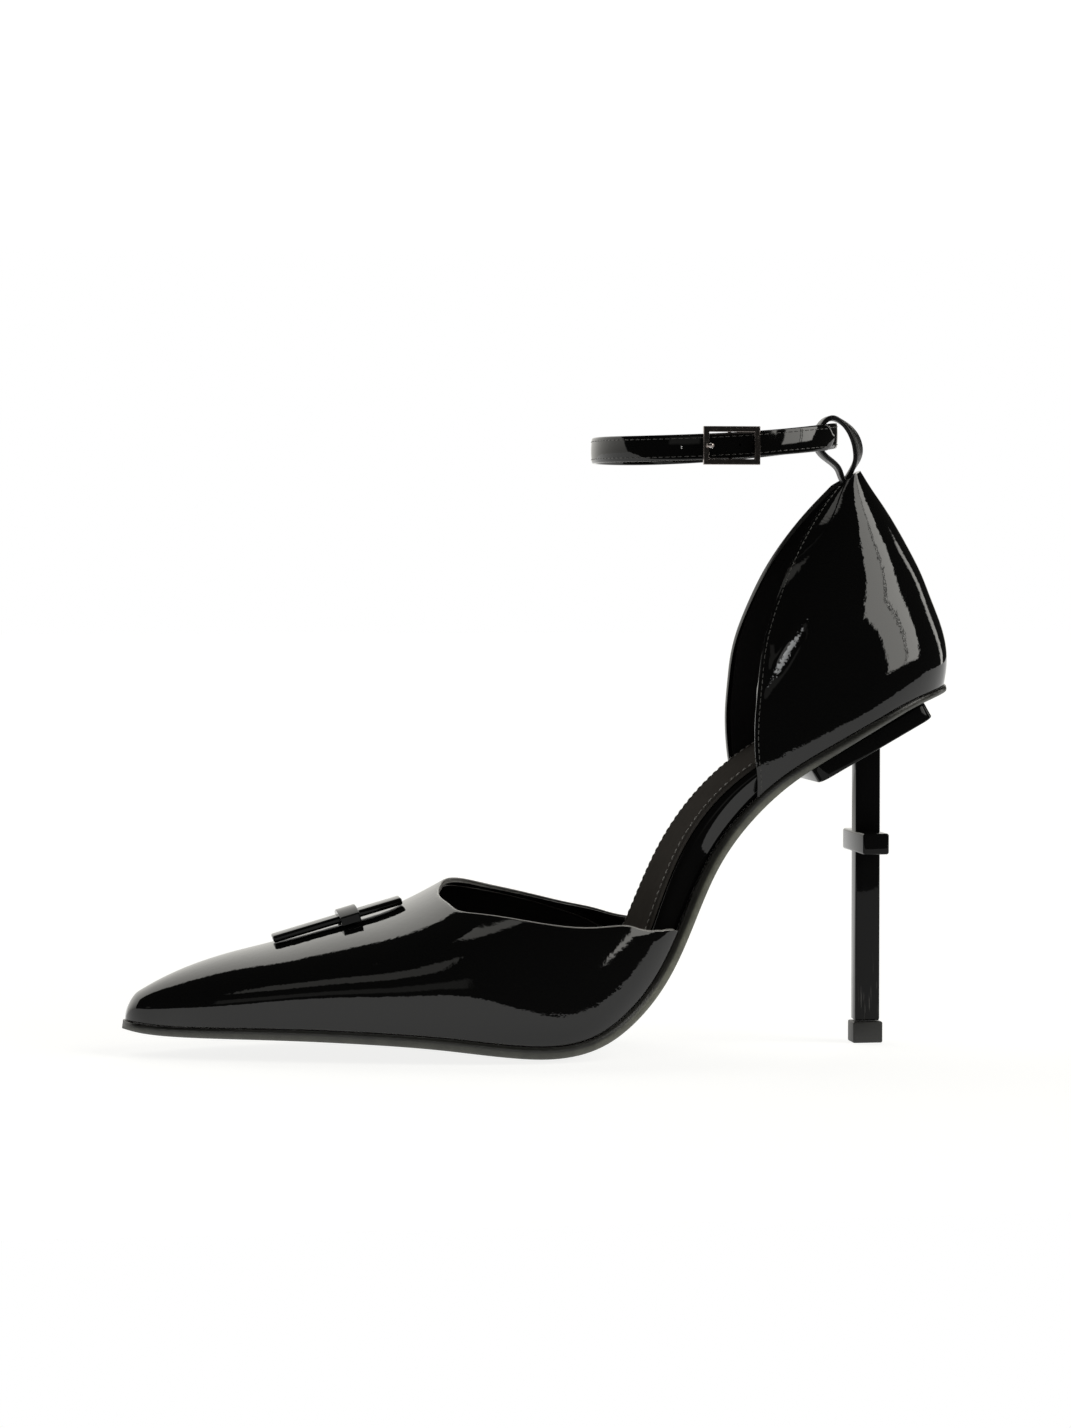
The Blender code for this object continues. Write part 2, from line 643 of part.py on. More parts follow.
# Heel: a tilted plate under the seat, a square stem and a crossbar, moulded in one.
STEM_X = 0.0961
STEM_DEPTH = 0.0073
STEM_WIDTH = 0.0055
STEM_EDGE = 0.0005
CROSSBAR_SIZE = (0.0077, 0.0258, 0.0061)
CROSSBAR_LEVEL = 0.0587
PLATE_SIZE = (0.0385, 0.0280, 0.0048)
PLATE_TILT = math.radians(29.5)
PLATE_X = 0.0937
PLATE_CORNER = 0.0034
PLATE_EDGE = 0.0004
PLATE_START = 0.75  # place along the foot from which the outsole may lie over the plate
STEM_SINK = 0.6  # how deep the stem ends in the plate, share of its thickness below the top
TIP_SIZE = (0.0088, 0.0072, 0.0062)


def plate_height():
    """Height of the plate's top at its middle, just clear of the outsole over its whole length."""
    lowest = math.inf
    reach = PLATE_SIZE[0] / 2 * math.cos(PLATE_TILT)
    for run in np.linspace(run_at(PLATE_START), RUN, FINE_SAMPLES):
        depth = -LAST["sole"](run) - LAST["crown"](run)
        x, _, z = on_last(run, 0, depth)
        if abs(x - PLATE_X) < reach:
            lowest = min(lowest, z - (x - PLATE_X) * math.tan(PLATE_TILT))
    return lowest - GAP / math.cos(PLATE_TILT)


def heel():
    length, width, thickness = PLATE_SIZE
    outline = rounded_rectangle(length - 2 * PLATE_EDGE, width - 2 * PLATE_EDGE, PLATE_CORNER, 4)
    mesh = flat_mesh("heel_plate", [outline], thickness, PLATE_EDGE)
    level = plate_height()
    turn = Matrix.Rotation(-PLATE_TILT, 4, "Y")
    sink = Matrix.Translation((0, 0, -thickness / 2))
    bmesh.ops.transform(mesh, matrix=Matrix.Translation((PLATE_X, 0, level)) @ turn @ sink, verts=mesh.verts)
    plate = add_part("heel", mesh, LACQUER)

    stem_top = level + (STEM_X - PLATE_X) * math.tan(PLATE_TILT) - thickness * STEM_SINK
    stem_foot = TIP_SIZE[2] + GAP
    stem = block("stem", (STEM_DEPTH, STEM_WIDTH, stem_top - stem_foot), STEM_EDGE, LACQUER)
    stem.location = (STEM_X, 0, (stem_top + stem_foot) / 2)
    crossbar = block("crossbar", CROSSBAR_SIZE, 2 * STEM_EDGE, LACQUER)
    crossbar.location = (STEM_X, 0, CROSSBAR_LEVEL)
    join(stem, crossbar)
    join(plate, stem)
    return plate


def top_lift():
    tip = block("top_lift", TIP_SIZE, STEM_EDGE, TIP_RUBBER)
    tip.location = (STEM_X, 0, TIP_SIZE[2] / 2)
    return tip


# Bar on the vamp: straight, with an arched crossbar, lying along the top beside the ridge.
BAR_FRONT = 0.1773  # places along the foot of its two ends
BAR_BACK = 0.3340
BAR_Y = 0.0038
BAR_SIZE = (0.0385, 0.0062, 0.0021)
BAR_EDGE = 0.0006
BAR_CROSS_SIZE = (0.0057, 0.0150, 0.0026)
BAR_CROSS_AT = 0.0033  # from the middle of the bar towards the heel
BAR_CROSS_DROP = 0.0015  # how far its ends bend down
BAR_CROSS_LIFT = 0.0013  # its middle above the middle of the bar
TOP_TURN = 0.9  # the turn up to which the vamp is searched for the place under the bar


def vamp_surface_at(along, across):
    """Point of the vamp above a place along and across the foot."""
    low, high = -TOP_TURN, TOP_TURN
    while high - low > MERGE:
        turn = (low + high) / 2
        if vamp_point(along, turn)[1] < across:
            low = turn
        else:
            high = turn
    return Vector(vamp_point(along, high))


def vamp_bar():
    front = vamp_surface_at(BAR_FRONT, BAR_Y)
    back = vamp_surface_at(BAR_BACK, BAR_Y)
    ahead = (back - front).normalized()
    middle_along = (BAR_FRONT + BAR_BACK) / 2
    left = vamp_surface_at(middle_along, BAR_Y - BAR_SIZE[1] / 2)
    right = vamp_surface_at(middle_along, BAR_Y + BAR_SIZE[1] / 2)
    up = ahead.cross((right - left).normalized()).normalized()
    side = up.cross(ahead).normalized()
    centre = (front + back) / 2

    def clearance(half_length, half_width, shift):
        """Highest point of the vamp under a rectangle of the bar, measured along up."""
        top = -math.inf
        for along_share in np.linspace(-1, 1, 13):
            for across_share in np.linspace(-1, 1, 5):
                spot = centre + ahead * (shift + along_share * half_length) + side * across_share * half_width
                found = vamp_surface_at(spot.x / LENGTH + 0.5, spot.y)
                top = max(top, (found - centre).dot(up))
        return top

    seat = clearance(BAR_SIZE[0] / 2, BAR_SIZE[1] / 2, 0) + GAP + BAR_SIZE[2] / 2
    frame = Matrix((ahead, side, up)).transposed().to_4x4()
    frame.translation = centre + up * seat
    bar = block("vamp_bar", BAR_SIZE, BAR_EDGE, LACQUER)
    bar.matrix_local = frame

    mesh = bmesh.new()
    bmesh.ops.create_grid(mesh, x_segments=1, y_segments=8, size=0.5)
    for vertex in mesh.verts:
        across = vertex.co.y * BAR_CROSS_SIZE[1]
        drop = BAR_CROSS_DROP * (2 * vertex.co.y) ** 2
        vertex.co = (vertex.co.x * BAR_CROSS_SIZE[0], across, BAR_CROSS_LIFT + BAR_CROSS_SIZE[2] / 2 - drop)
    cross = add_part("bar_cross", mesh, LACQUER)
    depth = cross.modifiers.new("depth", "SOLIDIFY")
    depth.thickness = BAR_CROSS_SIZE[2]
    depth.offset = -1
    edge = cross.modifiers.new("edge", "BEVEL")
    edge.width = BAR_EDGE
    edge.segments = 2
    edge.limit_method = "ANGLE"
    cross.matrix_local = frame @ Matrix.Translation((BAR_CROSS_AT, 0, 0))
    join(bar, cross)
    return bar


# Buckle: a flat frame in front of the strap's tail. Its centre bar passes behind the tail, where
# the strap's inner end holds it. The prong runs from the bar behind the tail, comes out through a
# hole, and rests with its tip on the front rail.
BUCKLE_LENGTH = 0.0162
BUCKLE_HEIGHT = 0.0108
BUCKLE_RAIL = 0.0016
BUCKLE_DEPTH = 0.0013
BUCKLE_CORNER = 0.0006
BUCKLE_X = 0.0490
BUCKLE_BAR = 0.0010
PRONG_RADIUS = 0.00055
PRONG_TIP = 0.0006  # its tip back from the outside of the rail
PRONG_BEND = 0.0006  # reach of its two bends
HOLE_AT = 0.0056  # the hole's middle, in front of the buckle's middle
HOLE_RADIUS = 0.0010
HOLE_SIDES = 16


def buckle_place():
    """Middle of the frame's back, just clear of the strap's tail."""
    middle = strap_point(0.0, LAP)
    level = strap_point((BUCKLE_X - STRAP_CENTRE_X) / (2 * math.pi * STRAP_HALF_LENGTH)).z
    return Vector((BUCKLE_X, middle.y - STRAP_THICKNESS / 2 - GAP, level))


def buckle_frame():
    outside = rounded_rectangle(BUCKLE_LENGTH, BUCKLE_HEIGHT, BUCKLE_CORNER, 2)
    inner_size = (BUCKLE_LENGTH - 2 * BUCKLE_RAIL, BUCKLE_HEIGHT - 2 * BUCKLE_RAIL)
    inside = rounded_rectangle(*inner_size, BUCKLE_CORNER / 2, 2)
    mesh = flat_mesh("buckle_outline", [outside, inside], BUCKLE_DEPTH)
    upright = Matrix.Rotation(math.pi / 2, 4, "X")
    centre = buckle_place() - Vector((0, BUCKLE_DEPTH / 2, 0))
    bmesh.ops.transform(mesh, matrix=Matrix.Translation(centre) @ upright, verts=mesh.verts)
    frame = add_part("buckle_frame", mesh, NICKEL)

    outer = (BUCKLE_HEIGHT - BUCKLE_RAIL + BUCKLE_BAR) / 2
    inner = outer - BUCKLE_BAR
    behind = BUCKLE_DEPTH / 2 + 2 * GAP + STRAP_THICKNESS
    back = behind + BUCKLE_BAR
    yoke = [(0, inner), (0, outer), (back, outer), (back, -outer)]
    yoke += [(0, -outer), (0, -inner), (behind, -inner), (behind, inner)]
    mesh = flat_mesh("buckle_yoke", [yoke], BUCKLE_BAR)
    edgewise = Matrix(((0, 0, 1), (1, 0, 0), (0, 1, 0))).to_4x4()
    bmesh.ops.transform(mesh, matrix=Matrix.Translation(centre) @ edgewise, verts=mesh.verts)
    join(frame, add_part("buckle_bar", mesh, NICKEL))
    return frame


def prong_hole():
    """Cutter for the hole in the strap's tail."""
    middle = buckle_place() + Vector((-HOLE_AT, GAP + STRAP_THICKNESS / 2, 0))
    across = Matrix.Translation(middle) @ Matrix.Rotation(math.pi / 2, 4, "X")
    mesh = bmesh.new()
    bmesh.ops.create_cone(mesh, cap_ends=True, segments=HOLE_SIDES, radius1=HOLE_RADIUS, radius2=HOLE_RADIUS,
                          depth=3 * STRAP_THICKNESS, matrix=across)
    return add_part("prong_hole", mesh, PATENT)


def buckle_prong():
    place_of_frame = buckle_place()
    resting = place_of_frame.y - BUCKLE_DEPTH - GAP - PRONG_RADIUS
    behind = place_of_frame.y + STRAP_THICKNESS + 3 * GAP + PRONG_RADIUS
    hole = BUCKLE_X - HOLE_AT
    route = [
        (BUCKLE_X - BUCKLE_LENGTH / 2 + PRONG_TIP, resting),
        (hole - PRONG_BEND, resting),
        (hole, resting + PRONG_BEND),
        (hole, behind - PRONG_BEND),
        (hole + PRONG_BEND, behind),
        (BUCKLE_X - BUCKLE_BAR / 2 - GAP, behind),
    ]
    curve = bpy.data.curves.new("buckle_prong", "CURVE")
    curve.dimensions = "3D"
    curve.bevel_depth = PRONG_RADIUS
    curve.bevel_resolution = 2
    curve.use_fill_caps = True
    wire = curve.splines.new("POLY")
    wire.points.add(len(route) - 1)
    for point, (x, y) in zip(wire.points, route):
        point.co = (x, y, place_of_frame.z, 1)
    curve.materials.append(NICKEL)
    prong = bpy.data.objects.new("buckle_prong", curve)
    parts.objects.link(prong)
    prong.parent = root
    return prong


made = [
    outsole(),
    insole_board(),
    sock_lining(),
    vamp(),
    quarter(),
    back_loop(),
    ankle_strap(),
    buckle_frame(),
    buckle_prong(),
    heel(),
    top_lift(),
    vamp_bar(),
]

# Stand the shoe on the floor with the origin under the middle of its box.
bpy.context.view_layer.update()
depsgraph = bpy.context.evaluated_depsgraph_get()
corners = []
for part in made:
    evaluated = part.evaluated_get(depsgraph)
    for vertex in evaluated.to_mesh().vertices:
        corners.append(evaluated.matrix_world @ vertex.co)
low = np.min(corners, axis=0)
high = np.max(corners, axis=0)
root.location = (-(low[0] + high[0]) / 2, -(low[1] + high[1]) / 2, -low[2])
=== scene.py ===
"""Left ankle-strap pump in black patent: pointed toe, open waist, buckled strap, slim heel."""
import math

import bpy
import numpy as np
from mathutils import Matrix, Vector


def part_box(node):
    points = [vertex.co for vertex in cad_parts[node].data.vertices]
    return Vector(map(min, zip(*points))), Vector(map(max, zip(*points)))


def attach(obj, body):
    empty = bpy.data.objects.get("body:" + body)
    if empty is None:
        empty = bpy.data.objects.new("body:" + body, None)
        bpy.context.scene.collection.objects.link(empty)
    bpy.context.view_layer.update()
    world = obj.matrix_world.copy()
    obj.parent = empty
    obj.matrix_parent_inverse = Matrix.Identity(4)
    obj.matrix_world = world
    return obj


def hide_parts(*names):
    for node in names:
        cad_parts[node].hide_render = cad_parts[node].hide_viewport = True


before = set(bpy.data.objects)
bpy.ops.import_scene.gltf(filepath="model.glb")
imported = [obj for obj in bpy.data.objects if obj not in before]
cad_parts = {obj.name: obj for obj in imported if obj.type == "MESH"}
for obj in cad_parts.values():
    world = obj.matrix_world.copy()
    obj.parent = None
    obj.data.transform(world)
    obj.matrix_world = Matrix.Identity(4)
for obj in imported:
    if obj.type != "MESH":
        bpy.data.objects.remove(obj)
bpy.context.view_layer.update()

# Insole board
# A stiff shaped board that carries the shoe, wrapped in the same patent as the upper. Its side
# shows along the open waist, widest high up and undercut towards the sole.
LENGTH = 0.2378  # toe tip to the back of the heel seat, in plan
HALF_BALL = 0.0365  # from the foot's axis to the outer side of the ball
SEAT_RISE = 0.1044  # back of the heel seat above the floor
TOE_CAP = 0.0058  # rounding of the outline at its two ends
HEEL_CAP = 0.031
END_STUB = 0.00012  # a round end stops this short of its point
WALL = 0.0015
GAP = 0.0003
STEM_X = 0.0961  # the heel's stem, from the middle of the last
FINE = 400
MERGE = 1e-6
STATION_SPACING = 0.0016
CAP_STEPS = 12
SMOOTH_ANGLE = math.radians(38)

# along: share of LENGTH. rise: feather line, share of SEAT_RISE. lateral, medial: half widths,
# shares of HALF_BALL. sole: edge thickness of the outsole. crown: swell of its middle.
# board: thickness of this board. step: how far the outsole stands out past the upper.
LAST_COLUMNS = ("along", "rise", "lateral", "medial", "sole", "crown", "board", "step")
LAST_ROWS = [
    (0.0000, 0.0920, 0.014, 0.342, 0.0022, 0.0003, 0.0018, 0.0006),
    (0.0231, 0.0852, 0.052, 0.384, 0.0024, 0.0006, 0.0019, 0.0007),
    (0.0652, 0.0833, 0.219, 0.540, 0.0026, 0.0010, 0.0020, 0.0007),
    (0.1367, 0.0862, 0.447, 0.707, 0.0029, 0.0013, 0.0021, 0.0007),
    (0.2082, 0.0862, 0.616, 0.827, 0.0031, 0.0015, 0.0022, 0.0007),
    (0.2839, 0.0814, 0.781, 0.921, 0.0032, 0.0016, 0.0022, 0.0007),
    (0.3680, 0.0690, 0.926, 0.964, 0.0033, 0.0017, 0.0022, 0.0007),
    (0.4563, 0.0479, 1.000, 0.921, 0.0034, 0.0018, 0.0023, 0.0007),
    (0.5151, 0.0498, 0.975, 0.838, 0.0034, 0.0018, 0.0026, 0.0007),
    (0.5488, 0.0718, 0.918, 0.762, 0.0034, 0.0015, 0.0032, 0.0006),
    (0.5824, 0.1197, 0.827, 0.682, 0.0035, 0.0011, 0.0042, 0.0004),
    (0.6207, 0.2098, 0.701, 0.580, 0.0036, 0.0008, 0.0053, 0.0000),
    (0.6577, 0.3602, 0.581, 0.503, 0.0037, 0.0006, 0.0066, -0.0005),
    (0.6947, 0.5297, 0.501, 0.466, 0.0037, 0.0005, 0.0072, -0.0009),
    (0.7384, 0.6638, 0.504, 0.479, 0.0037, 0.0005, 0.0068, -0.0008),
    (0.7843, 0.7605, 0.578, 0.556, 0.0033, 0.0005, 0.0054, -0.0001),
    (0.8398, 0.8400, 0.633, 0.622, 0.0028, 0.0004, 0.0044, 0.0004),
    (0.8936, 0.9080, 0.636, 0.630, 0.0024, 0.0003, 0.0040, 0.0004),
    (0.9483, 0.9655, 0.614, 0.614, 0.0020, 0.0002, 0.0038, 0.0004),
    (1.0000, 1.0000, 0.608, 0.608, 0.0017, 0.0001, 0.0036, 0.0004),
]
BOARD_SIDE = [(0.13, 0.0), (0.04, 0.42), (0.0, 0.68), (0.05, 0.87), (0.19, 1.0)]  # inset, rise
BOARD_INSET = WALL + 2 * GAP
SIDE_STEPS = 17
PATENT_BLACK = (0.0030, 0.0030, 0.0030, 1)
PATENT_IOR = 1.47
PATENT_ROUGHNESS = 0.04
SMEAR_SPAN = (0.52, 0.75)  # of the smears' noise: where the film starts to dull, and is dullest


def spline(knots, values):
    """Natural cubic through the values. The function it gives also tells the rate of change."""
    knots = np.asarray(knots, float)
    values = np.asarray(values, float)
    step = np.diff(knots)
    slope = np.diff(values) / step
    matrix = np.eye(len(knots))
    change = np.zeros(len(knots))
    for row in range(1, len(knots) - 1):
        matrix[row, row - 1:row + 2] = step[row - 1], 2 * (step[row - 1] + step[row]), step[row]
        change[row] = 3 * (slope[row] - slope[row - 1])
    bend = np.linalg.solve(matrix, change)
    slope = slope - step * (2 * bend[:-1] + bend[1:]) / 3
    cubic = np.diff(bend) / (3 * step)

    def read(where, rate=False):
        span = np.clip(np.searchsorted(knots, where) - 1, 0, len(step) - 1)
        past = where - knots[span]
        if rate:
            return slope[span] + past * (2 * bend[span] + 3 * past * cubic[span])
        return values[span] + past * (slope[span] + past * (bend[span] + past * cubic[span]))

    return read


def read_table(columns, rows, knots=None):
    """One spline for each named column of a table."""
    data = dict(zip(columns, np.transpose(rows)))
    knots = data[columns[0]] if knots is None else knots
    return {name: spline(knots, values) for name, values in data.items()}


def place(along):
    return (along - 0.5) * LENGTH


def gone_along(path):
    """Distance from the start of a path to each of its points."""
    return np.concatenate(([0], np.cumsum(np.linalg.norm(np.diff(path, axis=0), axis=1))))


profile = np.array([(place(row[0]), row[1] * SEAT_RISE) for row in LAST_ROWS])
run_lengths = gone_along(profile)
LAST = read_table(LAST_COLUMNS, LAST_ROWS, run_lengths)
RUN = run_lengths[-1]
RUN_STEPS = np.linspace(0, RUN, 2 * FINE + 1)
ALONG_STEPS = LAST["along"](RUN_STEPS)

tip_low, tip_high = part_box("top_lift")
LAST_TO_FRAME = np.array(
    ((tip_low.x + tip_high.x) / 2 - STEM_X, (tip_low.y + tip_high.y) / 2, 0))


def run_at(along):
    """Distance from the toe along the sole for a place along the foot."""
    return np.interp(along, ALONG_STEPS, RUN_STEPS)


def cap(distance, reach):
    """Round ending of an outline: 0 at the end, 1 from reach onwards."""
    share = np.clip(distance / reach, 0, 1)
    return np.sqrt(1 - (1 - share) ** 2)


def edges(run, inset=0.0):
    """Lateral and medial edge of the last's outline, drawn in by inset all round."""
    rounding = cap(run - inset, TOE_CAP) * cap(RUN - inset - run, HEEL_CAP)
    lateral = LAST["lateral"](run) * HALF_BALL - inset
    medial = LAST["medial"](run) * HALF_BALL - inset
    middle = (medial - lateral) / 2
    half = (medial + lateral) / 2 * rounding
    return middle - half, middle + half


def tilt_at(run):
    """Slope of the feather line, as an angle."""
    return np.arctan2(LAST["rise"](run, True) * SEAT_RISE, LAST["along"](run, True) * LENGTH)


def on_last(run, across, above):
    """Points at runs along the feather line, across the foot, and above along its normal."""
    tilt = tilt_at(run)
    x = place(LAST["along"](run)) - above * np.sin(tilt)
    z = LAST["rise"](run) * SEAT_RISE + above * np.cos(tilt)
    return np.stack(np.broadcast_arrays(x, across, z), axis=-1)


def stations(inset):
    """Runs along the last, close together round the two end caps."""
    toe = inset + TOE_CAP * (1 - np.cos(np.linspace(0, math.pi / 2, CAP_STEPS)))
    heel = RUN - inset - HEEL_CAP * (1 - np.cos(np.linspace(math.pi / 2, 0, 2 * CAP_STEPS)))
    middle = np.linspace(toe[-1], heel[0], round((heel[0] - toe[-1]) / STATION_SPACING) + 1)[1:-1]
    toe[0] += END_STUB
    heel[-1] -= END_STUB
    return np.concatenate((toe, middle, heel))


def flat_rings(inset, base, height, side):
    """Rings of a flat piece on the last: inset outline, base and height by run, its side."""
    run = stations(inset)[:, None]
    lateral, medial = edges(run, inset)
    deep = np.minimum(side[:, 0] * height(run), (medial - lateral) / 4)
    rise = base(run) + side[:, 1] * height(run)
    across = np.concatenate((lateral + deep, (medial - deep)[:, ::-1]), axis=1)
    return on_last(run, across, np.concatenate((rise, rise[:, ::-1]), axis=1))


def smooth_side(side):
    """A side's few points, drawn as a smooth line."""
    knots = np.linspace(0, 1, len(side))
    share = np.linspace(0, 1, SIDE_STEPS)
    return np.stack([spline(knots, column)(share) for column in np.transpose(side)], axis=1)


def name_piece(piece, name):
    piece.name = name
    piece.data.name = name
    return piece


def model(name, primitive, **settings):
    """Start a piece from a primitive, which is then the only thing selected."""
    bpy.ops.object.select_all(action="DESELECT")
    primitive(**settings)
    return name_piece(bpy.context.object, name)


def lay_grid(name, points):
    """Flat grid whose points are laid on rows of points; its map keeps row and column."""
    rows, columns = points.shape[:2]
    piece = model(name, bpy.ops.mesh.primitive_grid_add,
                  x_subdivisions=columns - 1, y_subdivisions=rows - 1, size=1)
    piece.data.vertices.foreach_set("co", (points + LAST_TO_FRAME).ravel())
    return piece


def close_skin(name, rings, endless=False):
    """Closed body through rings, its ends filled or, on an endless one, joined to each other."""
    rings = np.concatenate((rings, rings[:, :1]), axis=1)
    if endless:
        rings = np.concatenate((rings, rings[:1]))
    piece = lay_grid(name, rings)
    bpy.ops.object.mode_set(mode="EDIT")
    bpy.ops.mesh.select_all(action="SELECT")
    bpy.ops.mesh.remove_doubles(threshold=MERGE)
    bpy.ops.mesh.fill_holes(sides=0)
    bpy.ops.mesh.select_all(action="SELECT")
    bpy.ops.mesh.normals_make_consistent(inside=False)
    bpy.ops.object.mode_set(mode="OBJECT")
    return piece


def give(tree, socket, value):
    """Link an input to a socket, or set any other value on it."""
    if isinstance(value, bpy.types.NodeSocket):
        tree.links.new(value, socket)
    else:
        socket.default_value = value


def feed(tree, node, **inputs):
    """Give sockets or values to the named inputs of a node."""
    for name, value in inputs.items():
        give(tree, node.inputs[name.replace("_", " ")], value)


def add_node(tree, kind, values=(), settings=None, **inputs):
    """Node with its settings, and with inputs given in their order or by name."""
    node = tree.nodes.new(kind)
    for name, value in (settings or {}).items():
        setattr(node, name, value)
    for socket, value in zip(node.inputs, values):
        give(tree, socket, value)
    feed(tree, node, **inputs)
    return node


def reckon(tree, operation, *values, **settings):
    """Result of a sum on sockets and numbers."""
    settings["operation"] = operation
    return add_node(tree, "ShaderNodeMath", values, settings).outputs[0]


def grade(tree, value, low, high, at_low, at_high):
    """Value that goes from at_low to at_high as the given one goes from low to high."""
    return add_node(tree, "ShaderNodeMapRange", (value, low, high, at_low, at_high)).outputs[0]


def cloud(tree, spot, scale, detail, roughness=0.5):
    """Soft noise, from 0 to 1."""
    noise = add_node(tree, "ShaderNodeTexNoise", Vector=spot, Scale=scale, Detail=detail,
                     Roughness=roughness)
    return noise.outputs["Fac"]


def object_spot(tree):
    return add_node(tree, "ShaderNodeTexCoord").outputs["Object"]


def relief(tree, height, distance=1.0):
    """Normal of a surface that has this height on it."""
    bump = add_node(tree, "ShaderNodeBump", Height=height, Distance=distance, Strength=1.0)
    return bump.outputs["Normal"]


def shader_group(name, inputs, outputs):
    """Node group with named sockets, and its two ends; inputs carry their usual values."""
    tree = bpy.data.node_groups.new(name, "ShaderNodeTree")
    for label, value in inputs.items():
        socket = tree.interface.new_socket(label, in_out="INPUT", socket_type="NodeSocketFloat")
        socket.default_value = value
    for label in outputs:
        tree.interface.new_socket(label, in_out="OUTPUT", socket_type="NodeSocketFloat")
    return tree, tree.nodes.new("NodeGroupInput").outputs, tree.nodes.new("NodeGroupOutput")


def new_finish(name, colour, roughness, **sockets):
    """Material with the constant values set on its Principled shader."""
    material = bpy.data.materials.new(name)
    material.use_nodes = True
    shader = material.node_tree.nodes["Principled BSDF"]
    for label, value in {"Base Color": colour, "Roughness": roughness, **sockets}.items():
        shader.inputs[label].default_value = value
    return material, material.node_tree, shader


# Slow waves and finer ripples of a patent film, and the smears that dull it here and there.
ripple, ripple_in, ripple_out = shader_group(
    "patent_film",
    {"Wave Depth": 0.00003, "Ripple Depth": 0.000026, "Polish": 0.03, "Smear": 0.05},
    ("Height", "Roughness"))
spot = object_spot(ripple)
waves = cloud(ripple, spot, scale=150, detail=1.0, roughness=0.4)
ripples = cloud(ripple, spot, scale=560, detail=2.0)
smears = cloud(ripple, spot, scale=70, detail=4.0, roughness=0.6)
slow = reckon(ripple, "MULTIPLY", waves, ripple_in["Wave Depth"])
dull = grade(ripple, smears, *SMEAR_SPAN, 0.0, 1.0)
feed(ripple, ripple_out,
     Height=reckon(ripple, "MULTIPLY_ADD", ripples, ripple_in["Ripple Depth"], slow),
     Roughness=reckon(ripple, "MULTIPLY_ADD", dull, ripple_in["Smear"], ripple_in["Polish"]))


def patent_finish(name, colour=PATENT_BLACK, **film):
    """Black patent: a clear film over black, with the film's ripples and smears."""
    material, tree, shader = new_finish(name, colour, PATENT_ROUGHNESS, IOR=PATENT_IOR)
    coat = add_node(tree, "ShaderNodeGroup", settings={"node_tree": ripple}, **film).outputs
    feed(tree, shader, Normal=relief(tree, coat["Height"]), Roughness=coat["Roughness"])
    return material


def hang(piece, node, slot, *materials):
    """Give a finished piece its materials and soft shading, and put it in its node's place."""
    for material in materials:
        piece.data.materials.append(material)
    bpy.ops.object.select_all(action="DESELECT")
    piece.select_set(True)
    bpy.context.view_layer.objects.active = piece
    bpy.ops.object.shade_smooth_by_angle(angle=SMOOTH_ANGLE)
    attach(piece, "root")
    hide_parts(node)


WRAP_PATENT = patent_finish("wrap_patent", Wave_Depth=0.00001, Ripple_Depth=0.000006)
board = close_skin("board_wrap", flat_rings(
    BOARD_INSET, lambda run: GAP, LAST["board"], smooth_side(BOARD_SIDE)))
hang(board, "insole_board", "patent", WRAP_PATENT)

# Vamp
# The closed front of the upper: one piece of patent pulled over the pointed last, lined with thin
# leather, its topline folded over to a soft rolled edge.
INSTEP_RISE = 0.0476  # ridge of the vamp at the throat above the floor
NOSE_CAP = 0.0038  # rounding of the toe seen from the side
WALL_TURN = 0.16  # share of the turn that lies below the widest line
TUCK_IN = 0.0011  # how far the wall draws in from its widest line to the sole
VAMP_ROWS = 132
VAMP_COLUMNS = 144
VAMP_SPACING = 1.5  # rows crowd towards the toe by this power
TOE_WALL_REACH = 0.012  # from the tip, the wall grows to its full thickness over this length
TOE_WALL = 0.15  # share of the thickness at the tip
ROLLED_EDGE = 0.00055
FOLD_ROWS = 2  # rows of the grid that the fold covers on the inside
LINING_BEAD = 0.00020  # radius of the lining's rolled edge beside the fold
TOPLINE_ROLL = 0.00042  # radius of the roll along the topline
BEAD_SIDES = 8
BEAD_TRIM = 3  # points of an edge that a bead leaves free at each end
WALL_CORNER = math.radians(50)  # edges of the wall that turn by more than this are rolled
EDGE_GREY = (0.20, 0.195, 0.185, 1)
LINING_BLACK = (0.010, 0.0092, 0.0095, 1)
LINING_GREY = (0.016, 0.015, 0.015, 1)
RIM_DARK = (0.050, 0.047, 0.045, 1)  # the lining's cut edge, in its two shades
RIM_LIGHT = (0.080, 0.076, 0.072, 1)
THROAT = 0.372  # place along the foot where the ridge meets the topline

# height: ridge, share of INSTEP_RISE. offset: how far the ridge lies to the medial side, share of
# HALF_BALL. bow: section exponent. girth: widest line above the sole, share of INSTEP_RISE.
RIDGE_COLUMNS = ("along", "height", "offset", "bow", "girth")
RIDGE_ROWS = [
    (0.000, 0.322, 0.164, 2.00, 0.080),
    (0.025, 0.398, 0.164, 2.00, 0.090),
    (0.080, 0.524, 0.164, 2.00, 0.112),
    (0.135, 0.606, 0.166, 2.00, 0.138),
    (0.178, 0.656, 0.168, 2.00, 0.162),
    (0.254, 0.758, 0.178, 2.02, 0.196),
    (0.330, 0.872, 0.200, 2.05, 0.226),
    (0.372, 0.972, 0.215, 2.08, 0.246),
    (0.398, 1.040, 0.220, 2.10, 0.244),
    (0.452, 1.156, 0.215, 2.10, 0.186),
    (0.536, 1.316, 0.190, 2.10, 0.114),
    (0.662, 1.555, 0.120, 2.10, 0.270),
]
RIDGE = read_table(RIDGE_COLUMNS, RIDGE_ROWS)

